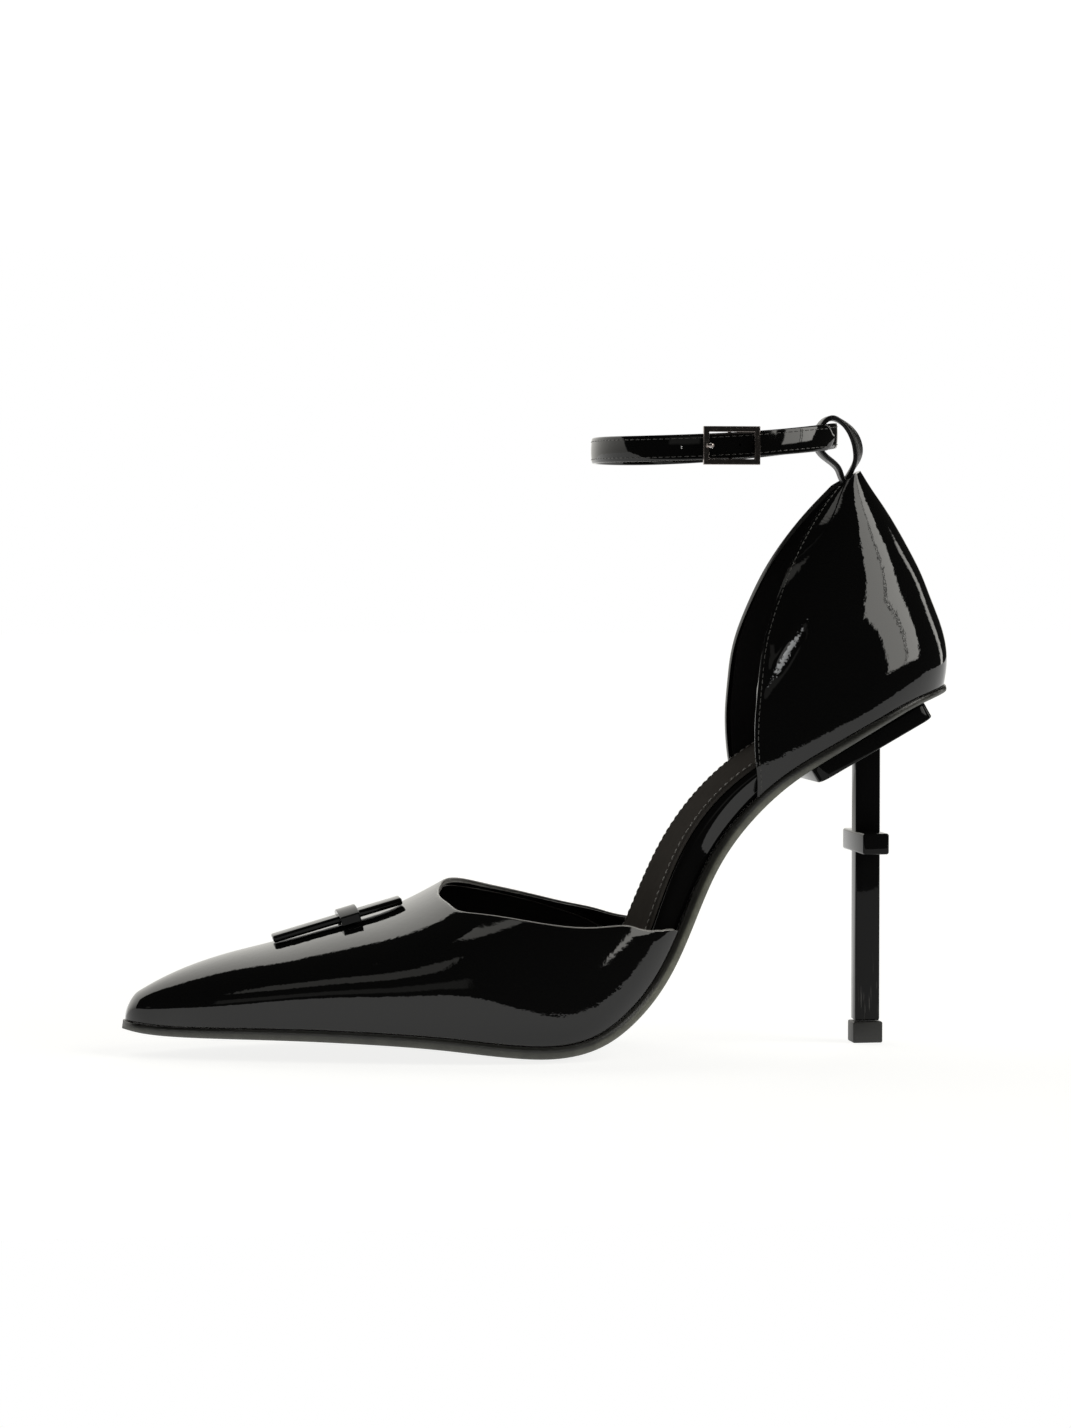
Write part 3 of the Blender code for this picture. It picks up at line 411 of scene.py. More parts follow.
# turn: share of the way from ridge to feather line. lateral, medial: places along the foot where
# the topline crosses that line on the two sides.
TOPLINE_ROWS = [
    (0.0, 0.3818, 0.3818),
    (0.1, 0.3732, 0.3904),
    (0.2, 0.3728, 0.4036),
    (0.3, 0.3798, 0.4238),
    (0.4, 0.3974, 0.4590),
    (0.5, 0.4649, 0.5172),
    (0.6, 0.5595, 0.5687),
    (0.7, 0.5998, 0.6004),
    (0.8, 0.6227, 0.6223),
    (0.9, 0.6383, 0.6375),
    (1.0, 0.6520, 0.6516),
]
TOPLINE = spline(
    [-row[0] for row in reversed(TOPLINE_ROWS)] + [row[0] for row in TOPLINE_ROWS[1:]],
    [row[1] for row in reversed(TOPLINE_ROWS)] + [row[2] for row in TOPLINE_ROWS[1:]],
)


def vamp_point(along, turn):
    """Outer surface of the vamp: turn -1 is the lateral feather line, 0 the ridge, 1 the medial."""
    along, turn = np.broadcast_arrays(along, turn)
    run = run_at(along)
    lateral, medial = edges(run)
    edge = np.where(turn < 0, lateral, medial)
    base = LAST["rise"](run) * SEAT_RISE + GAP / np.cos(tilt_at(run))
    nose = cap(along * LENGTH, NOSE_CAP)
    top = base + (RIDGE["height"](along) * INSTEP_RISE - base) * nose
    widest = base + RIDGE["girth"](along) * INSTEP_RISE * nose
    bulge = np.copysign(TUCK_IN * nose, turn)
    power = 2 / RIDGE["bow"](along)
    angle = np.clip(np.abs(turn) / (1 - WALL_TURN), 0, 1) * math.pi / 2
    crest = RIDGE["offset"](along) * HALF_BALL
    across = crest + (edge + bulge - crest) * np.sin(angle) ** power
    level = widest + (top - widest) * np.cos(angle) ** power
    below = np.clip((np.abs(turn) - 1 + WALL_TURN) / WALL_TURN, 0, 1)
    across = np.where(below > 0, edge + bulge * (1 - below ** 2), across)
    level = np.where(below > 0, widest + (base - widest) * below, level)
    return np.stack((place(along), across, level), axis=-1)


def apply_modifier(piece, kind, **settings):
    """Add a modifier to a piece and apply it."""
    bpy.context.view_layer.objects.active = piece
    modifier = piece.modifiers.new(kind.lower(), kind)
    for name, value in settings.items():
        setattr(modifier, name, value)
    bpy.ops.object.modifier_apply(modifier=modifier.name)


def soften(piece, width, segments, sharp, **settings):
    """Round the edges of a piece that turn by more than an angle."""
    apply_modifier(piece, "BEVEL", width=width, segments=segments, limit_method="ANGLE",
                   angle_limit=sharp, **settings)


def thicken(piece, materials, outward, thin=None):
    """Give a sheet its wall on the inside, with materials for outside, inside and rolled edge."""
    for material in materials:
        piece.data.materials.append(material)
    bpy.ops.object.mode_set(mode="EDIT")
    bpy.ops.mesh.select_all(action="SELECT")
    bpy.ops.mesh.remove_doubles(threshold=MERGE)
    bpy.ops.mesh.normals_make_consistent(inside=False)
    bpy.ops.object.mode_set(mode="OBJECT")
    facing = sum(outward(face.center).dot(face.normal) for face in piece.data.polygons)
    if facing < 0:
        bpy.ops.object.mode_set(mode="EDIT")
        bpy.ops.mesh.select_all(action="SELECT")
        bpy.ops.mesh.flip_normals()
        bpy.ops.object.mode_set(mode="OBJECT")
    settings = {}
    if thin is not None:
        group = piece.vertex_groups.new(name="wall")
        for vertex in piece.data.vertices:
            group.add([vertex.index], thin(vertex.co), "REPLACE")
        settings["vertex_group"] = "wall"
    apply_modifier(piece, "SOLIDIFY", thickness=WALL, offset=-1, use_even_offset=True,
                   use_quality_normals=True, material_offset=1, material_offset_rim=2, **settings)
    soften(piece, ROLLED_EDGE, 3, WALL_CORNER, material=2)


def fold_inside(piece, axis, reach):
    """Patent turned over an open edge onto the inside, as far as reach on one axis of the map."""
    places = np.empty(2 * len(piece.data.loops))
    piece.data.uv_layers.active.data.foreach_get("uv", places)
    places = places.reshape(-1, 2)[:, axis]
    for face in piece.data.polygons:
        middle = places[face.loop_start:face.loop_start + face.loop_total].mean()
        if face.material_index == 1 and (middle > 1 - reach or axis == 0 and middle < reach):
            face.material_index = 0


def unit(vectors):
    return vectors / np.linalg.norm(vectors, axis=-1, keepdims=True)


def round_rings(line, radius, sides):
    """Rings of a thin round bar along a line of points."""
    ahead = unit(np.gradient(line, axis=0))[:, None]
    side = unit(np.cross(ahead, (0.0, 0.0, 1.0)))
    rise = np.cross(side, ahead)
    turns = np.linspace(0, 2 * math.pi, sides, endpoint=False)[:, None]
    return line[:, None] + radius * (side * np.cos(turns) + rise * np.sin(turns))


def hang_trim(piece, material):
    """Give a small piece that replaces no node its material and soft shading, and attach it to the
    root.
    """
    piece.data.materials.append(material)
    bpy.ops.object.shade_smooth()
    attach(piece, "root")


def lay_bead(name, line, radius, material):
    """Thin round bead along a line of points on the last."""
    hang_trim(close_skin(name, round_rings(line, radius, BEAD_SIDES)), material)


def face_out(directions, points, core):
    """The directions at some points, each turned to point away from a core."""
    return directions * np.sign(np.sum(directions * (points - core), axis=1))[:, None]


def inner_line(before, line, after, core, deep):
    """Line in a wall, this deep behind a line on its outside, from the two lines beside it."""
    out = unit(np.cross(after - before, np.gradient(line, axis=0)))
    return line - face_out(out, line, core) * deep


# Pebbled grain of a thin leather or a matt coating as a height, and a soft cloud for its shade.
grain, grain_in, grain_out = shader_group(
    "leather_grain", {"Pebbles": 1500.0, "Depth": 0.00003}, ("Height", "Shade"))
spot = object_spot(grain)
cells = add_node(grain, "ShaderNodeTexVoronoi", Vector=spot, Scale=grain_in["Pebbles"])
feed(grain, grain_out,
     Height=reckon(grain, "MULTIPLY", cells.outputs["Distance"], grain_in["Depth"]),
     Shade=cloud(grain, spot, scale=220, detail=5.0, roughness=0.6))


def mix_colours(tree, share, first, second, blend="MIX"):
    """Colour that lies between two colours, or is their product."""
    node = add_node(tree, "ShaderNodeMix", settings={"data_type": "RGBA", "blend_type": blend})
    # Inputs 6 and 7 and output 2 are the node's colours. The others are numbers and vectors.
    for index, value in ((0, share), (6, first), (7, second)):
        give(tree, node.inputs[index], value)
    return node.outputs[2]


def leather_finish(name, dark, light, roughness, pebbles, depth, **sockets):
    """Matt or satin leather: two close shades in a soft cloud, over a pebbled grain."""
    material, tree, shader = new_finish(name, dark, roughness, **sockets)
    skin = add_node(tree, "ShaderNodeGroup", settings={"node_tree": grain},
                    Pebbles=pebbles, Depth=depth).outputs
    feed(tree, shader, Base_Color=mix_colours(tree, skin["Shade"], dark, light),
         Normal=relief(tree, skin["Height"]))
    return material


UPPER_PATENT = patent_finish("upper_patent")
FOLD_EDGE = patent_finish("topline_edge", EDGE_GREY, Polish=0.22)
LINING = leather_finish(
    "lining_leather", LINING_BLACK, LINING_GREY, roughness=0.38, pebbles=1400.0, depth=0.00002)
LINING_EDGE = leather_finish(
    "lining_edge", RIM_DARK, RIM_LIGHT, roughness=0.30, pebbles=1400.0, depth=0.00001)

turns = np.linspace(-1, 1, VAMP_COLUMNS + 1)
shares = (np.arange(VAMP_ROWS + 1) / VAMP_ROWS) ** VAMP_SPACING
vamp_rows = vamp_point(shares[:, None] * TOPLINE(turns), turns)
vamp = lay_grid("vamp_upper", vamp_rows)
toe_tip = Vector(vamp_point(0.0, 0.0) + LAST_TO_FRAME)
vamp_low, vamp_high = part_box("vamp")
vamp_middle = (vamp_low.y + vamp_high.y) / 2
thicken(
    vamp,
    (UPPER_PATENT, LINING, FOLD_EDGE),
    lambda spot: Vector((0, spot.y - vamp_middle, spot.z)),
    lambda spot: min(1, TOE_WALL + (spot - toe_tip).length / TOE_WALL_REACH),
)
fold_inside(vamp, 1, FOLD_ROWS / VAMP_ROWS)
hang(vamp, "vamp", "patent")

# The lining's edge beside the fold, and the roll along the topline.
fold_row = VAMP_ROWS - FOLD_ROWS
under_ridge = np.array((place(THROAT), RIDGE["offset"](THROAT) * HALF_BALL, 0.0))
vamp_fold = inner_line(*vamp_rows[fold_row - 1:fold_row + 2], under_ridge, WALL)
lay_bead("vamp_lining_edge", vamp_fold[BEAD_TRIM:-BEAD_TRIM], LINING_BEAD, LINING_EDGE)
vamp_rim = inner_line(
    vamp_rows[fold_row], vamp_rows[-1], vamp_rows[-1], under_ridge, TOPLINE_ROLL)
lay_bead("vamp_topline_roll", vamp_rim[BEAD_TRIM:-BEAD_TRIM], TOPLINE_ROLL, FOLD_EDGE)

# Quarter
# The back of the upper: one piece of patent round the heel, rising to a point at the back, lined
# and folded along its two front edges, with a row of stitches just inside the fold.
SEAT_TILT = math.radians(30)
QUARTER_START = 0.752  # place along the foot where the front edges meet the sole
QUARTER_BLEND = 0.032  # height by which the row's form no longer follows the sole's outline
QUARTER_LINES = 116
QUARTER_ROW_POINTS = 196
QUARTER_SPACING = 1.5  # rows crowd towards the top by this power
QUARTER_CORE = (-0.022, 0.0, 0.02)  # a place inside it, on the seat
FRONT_EDGE_GREY = (0.020, 0.0195, 0.0185, 1)

# height: above the seat's back. front, back: ends of the row along the seat, from the seat's back.
# half: half width at the front edge. square: how square the row is round the heel. round: swell of
# the sides between front edge and back.
QUARTER_COLUMNS = ("height", "front", "back", "half", "square", "round")
QUARTER_ROWS = [
    (0.0037, -0.0650, 0.0030, 0.0194, 3.0, 0.12),
    (0.0082, -0.0632, 0.0056, 0.0200, 3.0, 0.12),
    (0.0151, -0.0603, 0.0078, 0.0207, 3.0, 0.12),
    (0.0234, -0.0559, 0.0091, 0.0215, 3.0, 0.11),
    (0.0312, -0.0507, 0.0102, 0.0216, 2.9, 0.10),
    (0.0400, -0.0437, 0.0106, 0.0206, 2.75, 0.08),
    (0.0480, -0.0345, 0.0106, 0.0184, 2.5, 0.065),
    (0.0554, -0.0240, 0.0102, 0.0149, 2.3, 0.06),
    (0.0600, -0.0155, 0.0098, 0.0113, 2.2, 0.06),
    (0.0640, -0.0060, 0.0096, 0.0072, 2.6, 0.06),
    (0.0663, 0.0010, 0.0095, 0.0048, 3.2, 0.06),
]


def resample(points, count):
    """Evenly spaced points along a polyline."""
    points = np.asarray(points, float)
    gone = gone_along(points)
    wanted = np.linspace(0, gone[-1], count)
    return np.stack([np.interp(wanted, gone, column) for column in points.T], axis=1)


def to_seat(points):
    """Points as (along the seat, across, above the seat), from the seat's back."""
    dx = points[..., 0] - place(1.0)
    dz = points[..., 2] - SEAT_RISE
    along = dx * math.cos(SEAT_TILT) + dz * math.sin(SEAT_TILT)
    above = dz * math.cos(SEAT_TILT) - dx * math.sin(SEAT_TILT)
    return np.stack((along, points[..., 1], above), axis=-1)


def from_seat(along, across, above):
    x = place(1.0) + along * math.cos(SEAT_TILT) - above * math.sin(SEAT_TILT)
    z = SEAT_RISE + along * math.sin(SEAT_TILT) + above * math.cos(SEAT_TILT)
    return np.stack((x, across, z), axis=-1)


def ease(share):
    """Share of a way, with a smooth start and stop."""
    return share * share * (3 - 2 * share)


def quarter_surface():
    """Rows of the outer surface, from the sole to the point at the back."""
    runs = np.linspace(run_at(QUARTER_START), RUN, FINE)
    lateral = to_seat(on_last(runs, edges(runs)[0], GAP))
    medial = to_seat(on_last(runs, edges(runs)[1], GAP))[-2::-1]
    base = resample(np.concatenate((lateral, medial)), QUARTER_ROW_POINTS + 1)
    front = (base[0, 0] + base[-1, 0]) / 2
    back = base[:, 0].max()
    half = (base[-1, 1] - base[0, 1]) / 2
    lowest = (0.0, front, back, half, *QUARTER_ROWS[0][4:])
    table = read_table(QUARTER_COLUMNS, [lowest, *QUARTER_ROWS])
    angles = np.linspace(-math.pi / 2, math.pi / 2, FINE)
    rows = []
    for line in range(QUARTER_LINES + 1):
        height = QUARTER_ROWS[-1][0] * (1 - (1 - line / QUARTER_LINES) ** QUARTER_SPACING)
        start_here, end_here, half_here, square, swell = (
            table[name](height) for name in QUARTER_COLUMNS[1:])
        reach = end_here - start_here
        deep = np.maximum(np.cos(angles), 0) ** (2 / square)
        wide = np.sin(angles) * (1 + swell * np.sin(math.pi * deep)) * half_here
        bend = resample(np.stack((deep * reach, wide), axis=1), QUARTER_ROW_POINTS + 1)
        share = ease(min(height / QUARTER_BLEND, 1))
        sole_form = (base[:, 0] - front) / (back - front) * reach
        along = start_here + (1 - share) * sole_form + share * bend[:, 0]
        across = (1 - share) * base[:, 1] / half * half_here + share * bend[:, 1]
        rows.append(np.stack((along, across, height + (1 - share) * base[:, 2]), axis=1))
    return np.array(rows)


# Creases by the outer front edge, where the side folds as the foot goes in.
# along, above: middle of the crease on the seat. length, width: its reach along and across itself.
# turn: degrees from the seat's line. depth: how far it dips in.
CREASES = [
    (-0.0400, 0.0337, 0.0075, 0.0013, 29, 0.00080),
    (-0.0398, 0.0362, 0.0060, 0.0011, 31, -0.00045),
    (-0.0352, 0.0435, 0.0060, 0.0026, 34, 0.00045),
    (-0.0452, 0.0345, 0.0026, 0.0010, 55, 0.00040),
    (-0.0500, 0.0288, 0.0024, 0.0011, 48, 0.00045),
    (-0.0330, 0.0372, 0.0022, 0.0009, 62, 0.00030),
]
# Painted highlight: a light grey streak in the colour of the main crease, standing in for the light
# its flank catches.
CREASE_HIGHLIGHT_GREY = (0.50, 0.51, 0.53, 1)
CREASE_AT = (-0.0396, -0.0220, 0.0339)  # middle of the painted highlight streak on the seat
CREASE_REACH = (0.0092, 0.004, 0.0010)  # its half length, depth and half width
CREASE_TURN = math.radians(29)
CREASE_FADE = 0.012  # the creases come in over this width, off the middle of the foot
HIGHLIGHT_RAG = 2.4  # how far the noise frays the painted highlight's border
HIGHLIGHT_BORDER = (1.80, 2.10)  # frayed distance at which the painted highlight starts to fade, and is gone
HIGHLIGHT_DULL = 0.22  # roughness that the streak adds


def crease(rows):
    """Press the creases into the outer side of the quarter as soft troughs and ridges."""
    pressed = rows.copy()
    outer_side = np.clip(-rows[..., 1] / CREASE_FADE, 0, 1)
    for along, above, length, width, turn, depth in CREASES:
        angle = math.radians(turn)
        off_along = rows[..., 0] - along
        off_above = rows[..., 2] - above
        down_it = off_along * math.cos(angle) + off_above * math.sin(angle)
        off_it = off_above * math.cos(angle) - off_along * math.sin(angle)
        dip = np.exp(-(down_it / length) ** 2 - (off_it / width) ** 2)
        pressed[..., 1] += depth * outer_side * dip
    return pressed


quarter_rows = from_seat(*np.moveaxis(crease(quarter_surface()), -1, 0))
quarter = lay_grid("quarter_upper", quarter_rows)
quarter_core = from_seat(*QUARTER_CORE) + LAST_TO_FRAME

# In the main crease a painted highlight sits in the colour: a light grey streak with a ragged
# border, where the film is also duller.
HIGHLIGHTED_PATENT = patent_finish("quarter_patent_painted_highlight")
crease_tree = HIGHLIGHTED_PATENT.node_tree
crease_shader = crease_tree.nodes["Principled BSDF"]
crease_spot = object_spot(crease_tree)
on_crease = add_node(
    crease_tree, "ShaderNodeMapping", settings={"vector_type": "TEXTURE"}, Vector=crease_spot,
    Location=from_seat(*CREASE_AT) + LAST_TO_FRAME, Rotation=(0, -SEAT_TILT - CREASE_TURN, 0),
    Scale=CREASE_REACH)
off_crease = add_node(
    crease_tree, "ShaderNodeVectorMath", (on_crease.outputs[0],), {"operation": "LENGTH"})
ragged = cloud(crease_tree, crease_spot, scale=1200, detail=4.0)
frayed = reckon(crease_tree, "MULTIPLY_ADD", ragged, HIGHLIGHT_RAG, off_crease.outputs["Value"])
painted_highlight = grade(crease_tree, frayed, *HIGHLIGHT_BORDER, 1.0, 0.0)
glossy = crease_shader.inputs["Roughness"].links[0].from_socket
feed(crease_tree, crease_shader,
     Roughness=reckon(crease_tree, "MULTIPLY_ADD", painted_highlight, HIGHLIGHT_DULL, glossy),
     Base_Color=mix_colours(crease_tree, painted_highlight, PATENT_BLACK, CREASE_HIGHLIGHT_GREY))

QUARTER_EDGE = patent_finish("front_edge", FRONT_EDGE_GREY, Polish=0.16)
thicken(quarter, (HIGHLIGHTED_PATENT, LINING, QUARTER_EDGE), lambda spot: spot - Vector(quarter_core))
fold_inside(quarter, 0, FOLD_ROWS / QUARTER_ROW_POINTS)
hang(quarter, "quarter", "patent")

# Stitches
# Black waxed thread, sewn by machine through patent and lining just inside a folded edge. Each
# stitch is a short rounded bar, pulled down into the film, and they lie end to end.
THREAD_GREY = (0.060, 0.058, 0.054, 1)
THREAD_ROUGHNESS = 0.35
TWIST_DEPTH = 0.00005
STITCH_SEGMENTS = 8
STITCH_RINGS = 5
FOLD_STITCH_IN = 0.0013  # from the fold
FOLD_STITCH_PITCH = 0.0018
FOLD_STITCH_LENGTH = 0.0015
FOLD_THREAD = 0.00030
FOLD_COLUMNS = {"outer": (0, 4), "inner": (-1, -5)}  # of the quarter: at a fold, and inside it

thread_material, thread_tree, thread_shader = new_finish(
    "waxed_thread", THREAD_GREY, THREAD_ROUGHNESS)
twist = cloud(thread_tree, object_spot(thread_tree), scale=4000, detail=1.0)
feed(thread_tree, thread_shader, Normal=relief(thread_tree, twist, TWIST_DEPTH))


def sew(name, path, outward, pitch, length, thread, material):
    """Stitches on a path of points, raised along outward. One is made and the rest are copies."""
    gone = gone_along(path)
    size = Matrix.Diagonal((length, thread, thread, 1))
    first = model(name, bpy.ops.mesh.primitive_uv_sphere_add,
                  segments=STITCH_SEGMENTS, ring_count=STITCH_RINGS, radius=0.5)
    copies = []
    for where in np.arange(pitch / 2, gone[-1] - pitch / 2, pitch):
        middle, ahead, behind = (
            Vector([np.interp(at, gone, column) for column in np.transpose(path)])
            for at in (where, where + pitch / 4, where - pitch / 4))
        along = (ahead - behind).normalized()
        up = Vector([np.interp(where, gone, column) for column in np.transpose(outward)])
        side = up.cross(along).normalized()
        turn = Matrix((along, side, along.cross(side))).transposed().to_4x4()
        copy = first.copy()
        copy.data = first.data.copy()
        copy.data.transform(Matrix.Translation(middle) @ turn @ size)
        bpy.context.scene.collection.objects.link(copy)
        copies.append(copy)
    bpy.data.objects.remove(first)
    bpy.ops.object.select_all(action="DESELECT")
    for copy in copies:
        copy.select_set(True)
    bpy.context.view_layer.objects.active = copies[0]
    bpy.ops.object.join()
    hang_trim(name_piece(bpy.context.object, name), material)


def surface_line(surface, columns, inset):
    """Points and directions on a surface, inset from one of its side edges."""
    edge, inner = (surface[:, column] for column in columns)
    toward = unit(inner - edge)
    out = unit(np.cross(np.gradient(edge, axis=0), toward))
    return edge + toward * inset, out


for side_name, columns in FOLD_COLUMNS.items():
    line, out = surface_line(quarter_rows + LAST_TO_FRAME, columns, FOLD_STITCH_IN)
    out = face_out(out, line, quarter_core)
    sew("fold_stitches_" + side_name, line[1:-1], out[1:-1], FOLD_STITCH_PITCH,
        FOLD_STITCH_LENGTH, FOLD_THREAD, thread_material)

# Back loop
# A narrow folded strap of patent, bent to a drop with its narrowed ends held between the walls of
# the quarter. The ankle strap runs through it.
LOOP_THICKNESS = 0.0016
LOOP_POINTS = 132
LOOP_POLISH = 0.38
STRAP_FILM = {"Wave_Depth": 0.000012, "Ripple_Depth": 0.00001}

# x, z: places on the last, from the point of the drop up its back and round. turn: degrees by
# which the face turns to the outer side. width: of the strap.
LOOP_COLUMNS = ("x", "z", "turn", "width")
LOOP_ROWS = [
    (0.0895, 0.1632, 0, 0.0036),
    (0.0904, 0.1648, 4, 0.0036),
    (0.0922, 0.1680, 16, 0.0050),
    (0.0932, 0.1712, 28, 0.0064),
    (0.0927, 0.1750, 32, 0.0066),
    (0.0903, 0.1790, 26, 0.0066),
    (0.0861, 0.1816, 10, 0.0066),
    (0.0828, 0.1801, 2, 0.0066),
    (0.0812, 0.1760, 0, 0.0066),
    (0.0823, 0.1720, 0, 0.0064),
    (0.0852, 0.1694, 0, 0.0056),
    (0.0875, 0.1672, 0, 0.0042),
    (0.0885, 0.1648, 0, 0.0036),
]
# across: share of the half width. out: share of the half thickness. The face is crowned over its
# filler, down to the two folded and stitched edges.
STRAP_SECTION = [
    (-1.00, -0.45), (-1.00, 0.30), (-0.97, 0.50), (-0.91, 0.63), (-0.82, 0.72), (-0.68, 0.80),
    (-0.45, 0.91), (-0.22, 0.98), (0.00, 1.00), (0.22, 0.98), (0.45, 0.91), (0.68, 0.80),
    (0.82, 0.72), (0.91, 0.63), (0.97, 0.50), (1.00, 0.30), (1.00, -0.45), (0.97, -0.80),
    (0.90, -1.00), (-0.90, -1.00), (-0.97, -0.80),
]


def strap_rings(path, across, outward, width, thickness):
    """Rings of a strap along a path; width may differ from point to point."""
    section = np.array(STRAP_SECTION) / 2
    spread = (np.ones(len(path)) * width)[:, None] * section[:, 0]
    rise = np.broadcast_to(thickness * section[:, 1], spread.shape)
    return path[:, None] + across[:, None] * spread[..., None] + outward[:, None] * rise[..., None]


LOOP = read_table(LOOP_COLUMNS, LOOP_ROWS + LOOP_ROWS[:1], np.arange(len(LOOP_ROWS) + 1))
loop_steps = np.linspace(0, len(LOOP_ROWS), FINE)
loop_gone = gone_along(np.stack((LOOP["x"](loop_steps), LOOP["z"](loop_steps)), axis=1))
loop_wanted = np.linspace(0, loop_gone[-1], LOOP_POINTS + 1)[:-1]
loop_even = np.interp(loop_wanted, loop_gone, loop_steps)
loop_path = np.stack((LOOP["x"](loop_even), 0 * loop_even, LOOP["z"](loop_even)), axis=1)
loop_ahead = unit(np.roll(loop_path, -1, axis=0) - np.roll(loop_path, 1, axis=0))
loop_turn = np.radians(LOOP["turn"](loop_even))
loop_across = np.stack((np.sin(loop_turn), np.cos(loop_turn), 0 * loop_turn), axis=1)
loop_out = unit(np.cross(loop_ahead, loop_across))
back_loop = close_skin("loop_strap", strap_rings(
    loop_path, loop_across, loop_out, LOOP["width"](loop_even), LOOP_THICKNESS), endless=True)
LOOP_PATENT = patent_finish("loop_patent", Polish=LOOP_POLISH, **STRAP_FILM)
hang(back_loop, "back_loop", "patent", LOOP_PATENT)

# Ankle strap
# A folded strip of patent with both edges stitched. It is held by the buckle's bar, runs once
# round the ankle and through the back loop, and its rounded tail lies over its own start.
STRAP_CENTRE_X = 0.0508
STRAP_HALF_LENGTH = 0.0347
STRAP_HALF_WIDTH = 0.0300
STRAP_SQUARE = 2.3  # exponent of the oval
STRAP_WIDTH = 0.0073
STRAP_THICKNESS = 0.0014
STRAP_LEVEL = 0.1729  # middle of the strap above the floor, at the middle of its length
STRAP_RISE = 0.0022  # the back lies this much higher, the front this much lower
STRAP_DISH = 0.0014  # both ends are lifted by this
LAP = STRAP_THICKNESS + GAP
STRAP_START = -0.0024  # turn, as a share of the oval, where the inner end meets the buckle's bar
LAP_START = 0.86  # turn where the strap begins to lift over its own start
LAP_FULL = 0.965
TAIL_END = 1.150
TAIL_ROUND = 0.0045
TAIL_TIP = 0.35  # share of the width that is left at the tail's end
STRAP_POINTS = 320
STRAP_STITCH_IN = 0.0011
STRAP_STITCH_PITCH = 0.0019
STRAP_STITCH_LENGTH = 0.0016
STRAP_THREAD = 0.00028
STRAP_STITCH_RISE = 0.41 * STRAP_THICKNESS  # from the middle of the thickness
BUCKLE_X = 0.0490
HOLE_AT = 0.0056  # the prong's hole, in front of the buckle's middle
HOLE_RADIUS = 0.0010
SPARE_HOLE_RADIUS = 0.00036
HOLE_SPACING = 0.0078
PUNCH_SIDES = 20
STRAP_LEAN = math.radians(9)  # behind the buckle, the strap's upper edge leans in this far
STRAP_LEAN_PLACES = (0.0582, 0.0630, 0.0735, 0.0790)  # where the lean starts, is full, and ends
STRAP_PATENT = patent_finish("strap_patent", **STRAP_FILM)


def bowed(value, bow):
    return np.copysign(np.abs(value) ** (2 / bow), value)


def strap_line(turn, lift=0.0):
    """Points on the oval; turn 0 is at the buckle's bar, and turn grows towards the back."""
    angle = 2 * math.pi * turn - math.pi / 2
    x = bowed(np.cos(angle), STRAP_SQUARE)
    y = bowed(np.sin(angle), STRAP_SQUARE)
    level = STRAP_LEVEL + STRAP_RISE * x + STRAP_DISH * x * x
    along = STRAP_CENTRE_X + (STRAP_HALF_LENGTH + lift) * x
    return np.stack((along, (STRAP_HALF_WIDTH + lift) * y, level), axis=-1)


def cut(piece, tool, operation="DIFFERENCE"):
    apply_modifier(piece, "BOOLEAN", object=tool, operation=operation)
    bpy.data.objects.remove(tool)


strap_turns = np.linspace(STRAP_START, TAIL_END, 4 * FINE)
lap_share = np.clip((strap_turns - LAP_START) / (LAP_FULL - LAP_START), 0, 1)
strap_path = resample(strap_line(strap_turns, LAP * ease(lap_share)), STRAP_POINTS)
strap_ahead = unit(np.gradient(strap_path, axis=0))
strap_out = unit(np.cross(strap_ahead, (0.0, 0.0, 1.0)))
strap_across = unit(np.cross(strap_out, strap_ahead))
strap_lean = np.interp(strap_path[:, :1], STRAP_LEAN_PLACES, (0, STRAP_LEAN, STRAP_LEAN, 0))
strap_lean = strap_lean * (strap_path[:, 1:2] < 0)
strap_across, strap_out = (
    strap_across * np.cos(strap_lean) - strap_out * np.sin(strap_lean),
    strap_out * np.cos(strap_lean) + strap_across * np.sin(strap_lean))
strap_gone = gone_along(strap_path)
to_tail = strap_gone[-1] - strap_gone
tail_width = STRAP_WIDTH * np.maximum(cap(to_tail, TAIL_ROUND), TAIL_TIP)
ankle_strap = close_skin("strap_band", strap_rings(
    strap_path, strap_across, strap_out, tail_width, STRAP_THICKNESS))

for hole in (-1, 0, 1):
    reach = np.abs(strap_path[:, 0] - BUCKLE_X + HOLE_AT - hole * HOLE_SPACING)
    reach[: STRAP_POINTS // 2] = 1  # the holes are in the tail's half of the strap
    nearest = int(np.argmin(reach))
    punch = model("punch", bpy.ops.mesh.primitive_cylinder_add, vertices=PUNCH_SIDES,
                  radius=SPARE_HOLE_RADIUS if hole else HOLE_RADIUS, depth=2 * STRAP_THICKNESS)
    turn = Vector(strap_out[nearest]).to_track_quat("Z", "Y").to_matrix().to_4x4()
    punch.data.transform(Matrix.Translation(Vector(strap_path[nearest] + LAST_TO_FRAME)) @ turn)
    cut(ankle_strap, punch)
hang(ankle_strap, "ankle_strap", "patent", STRAP_PATENT)
for edge_name, sign in (("upper", 1), ("lower", -1)):
    off_middle = sign * (STRAP_WIDTH / 2 - STRAP_STITCH_IN)
    line = strap_path + strap_across * off_middle + strap_out * STRAP_STITCH_RISE + LAST_TO_FRAME
    keep = to_tail > STRAP_STITCH_IN
    sew("strap_stitches_" + edge_name, line[keep], strap_out[keep], STRAP_STITCH_PITCH,
        STRAP_STITCH_LENGTH, STRAP_THREAD, thread_material)

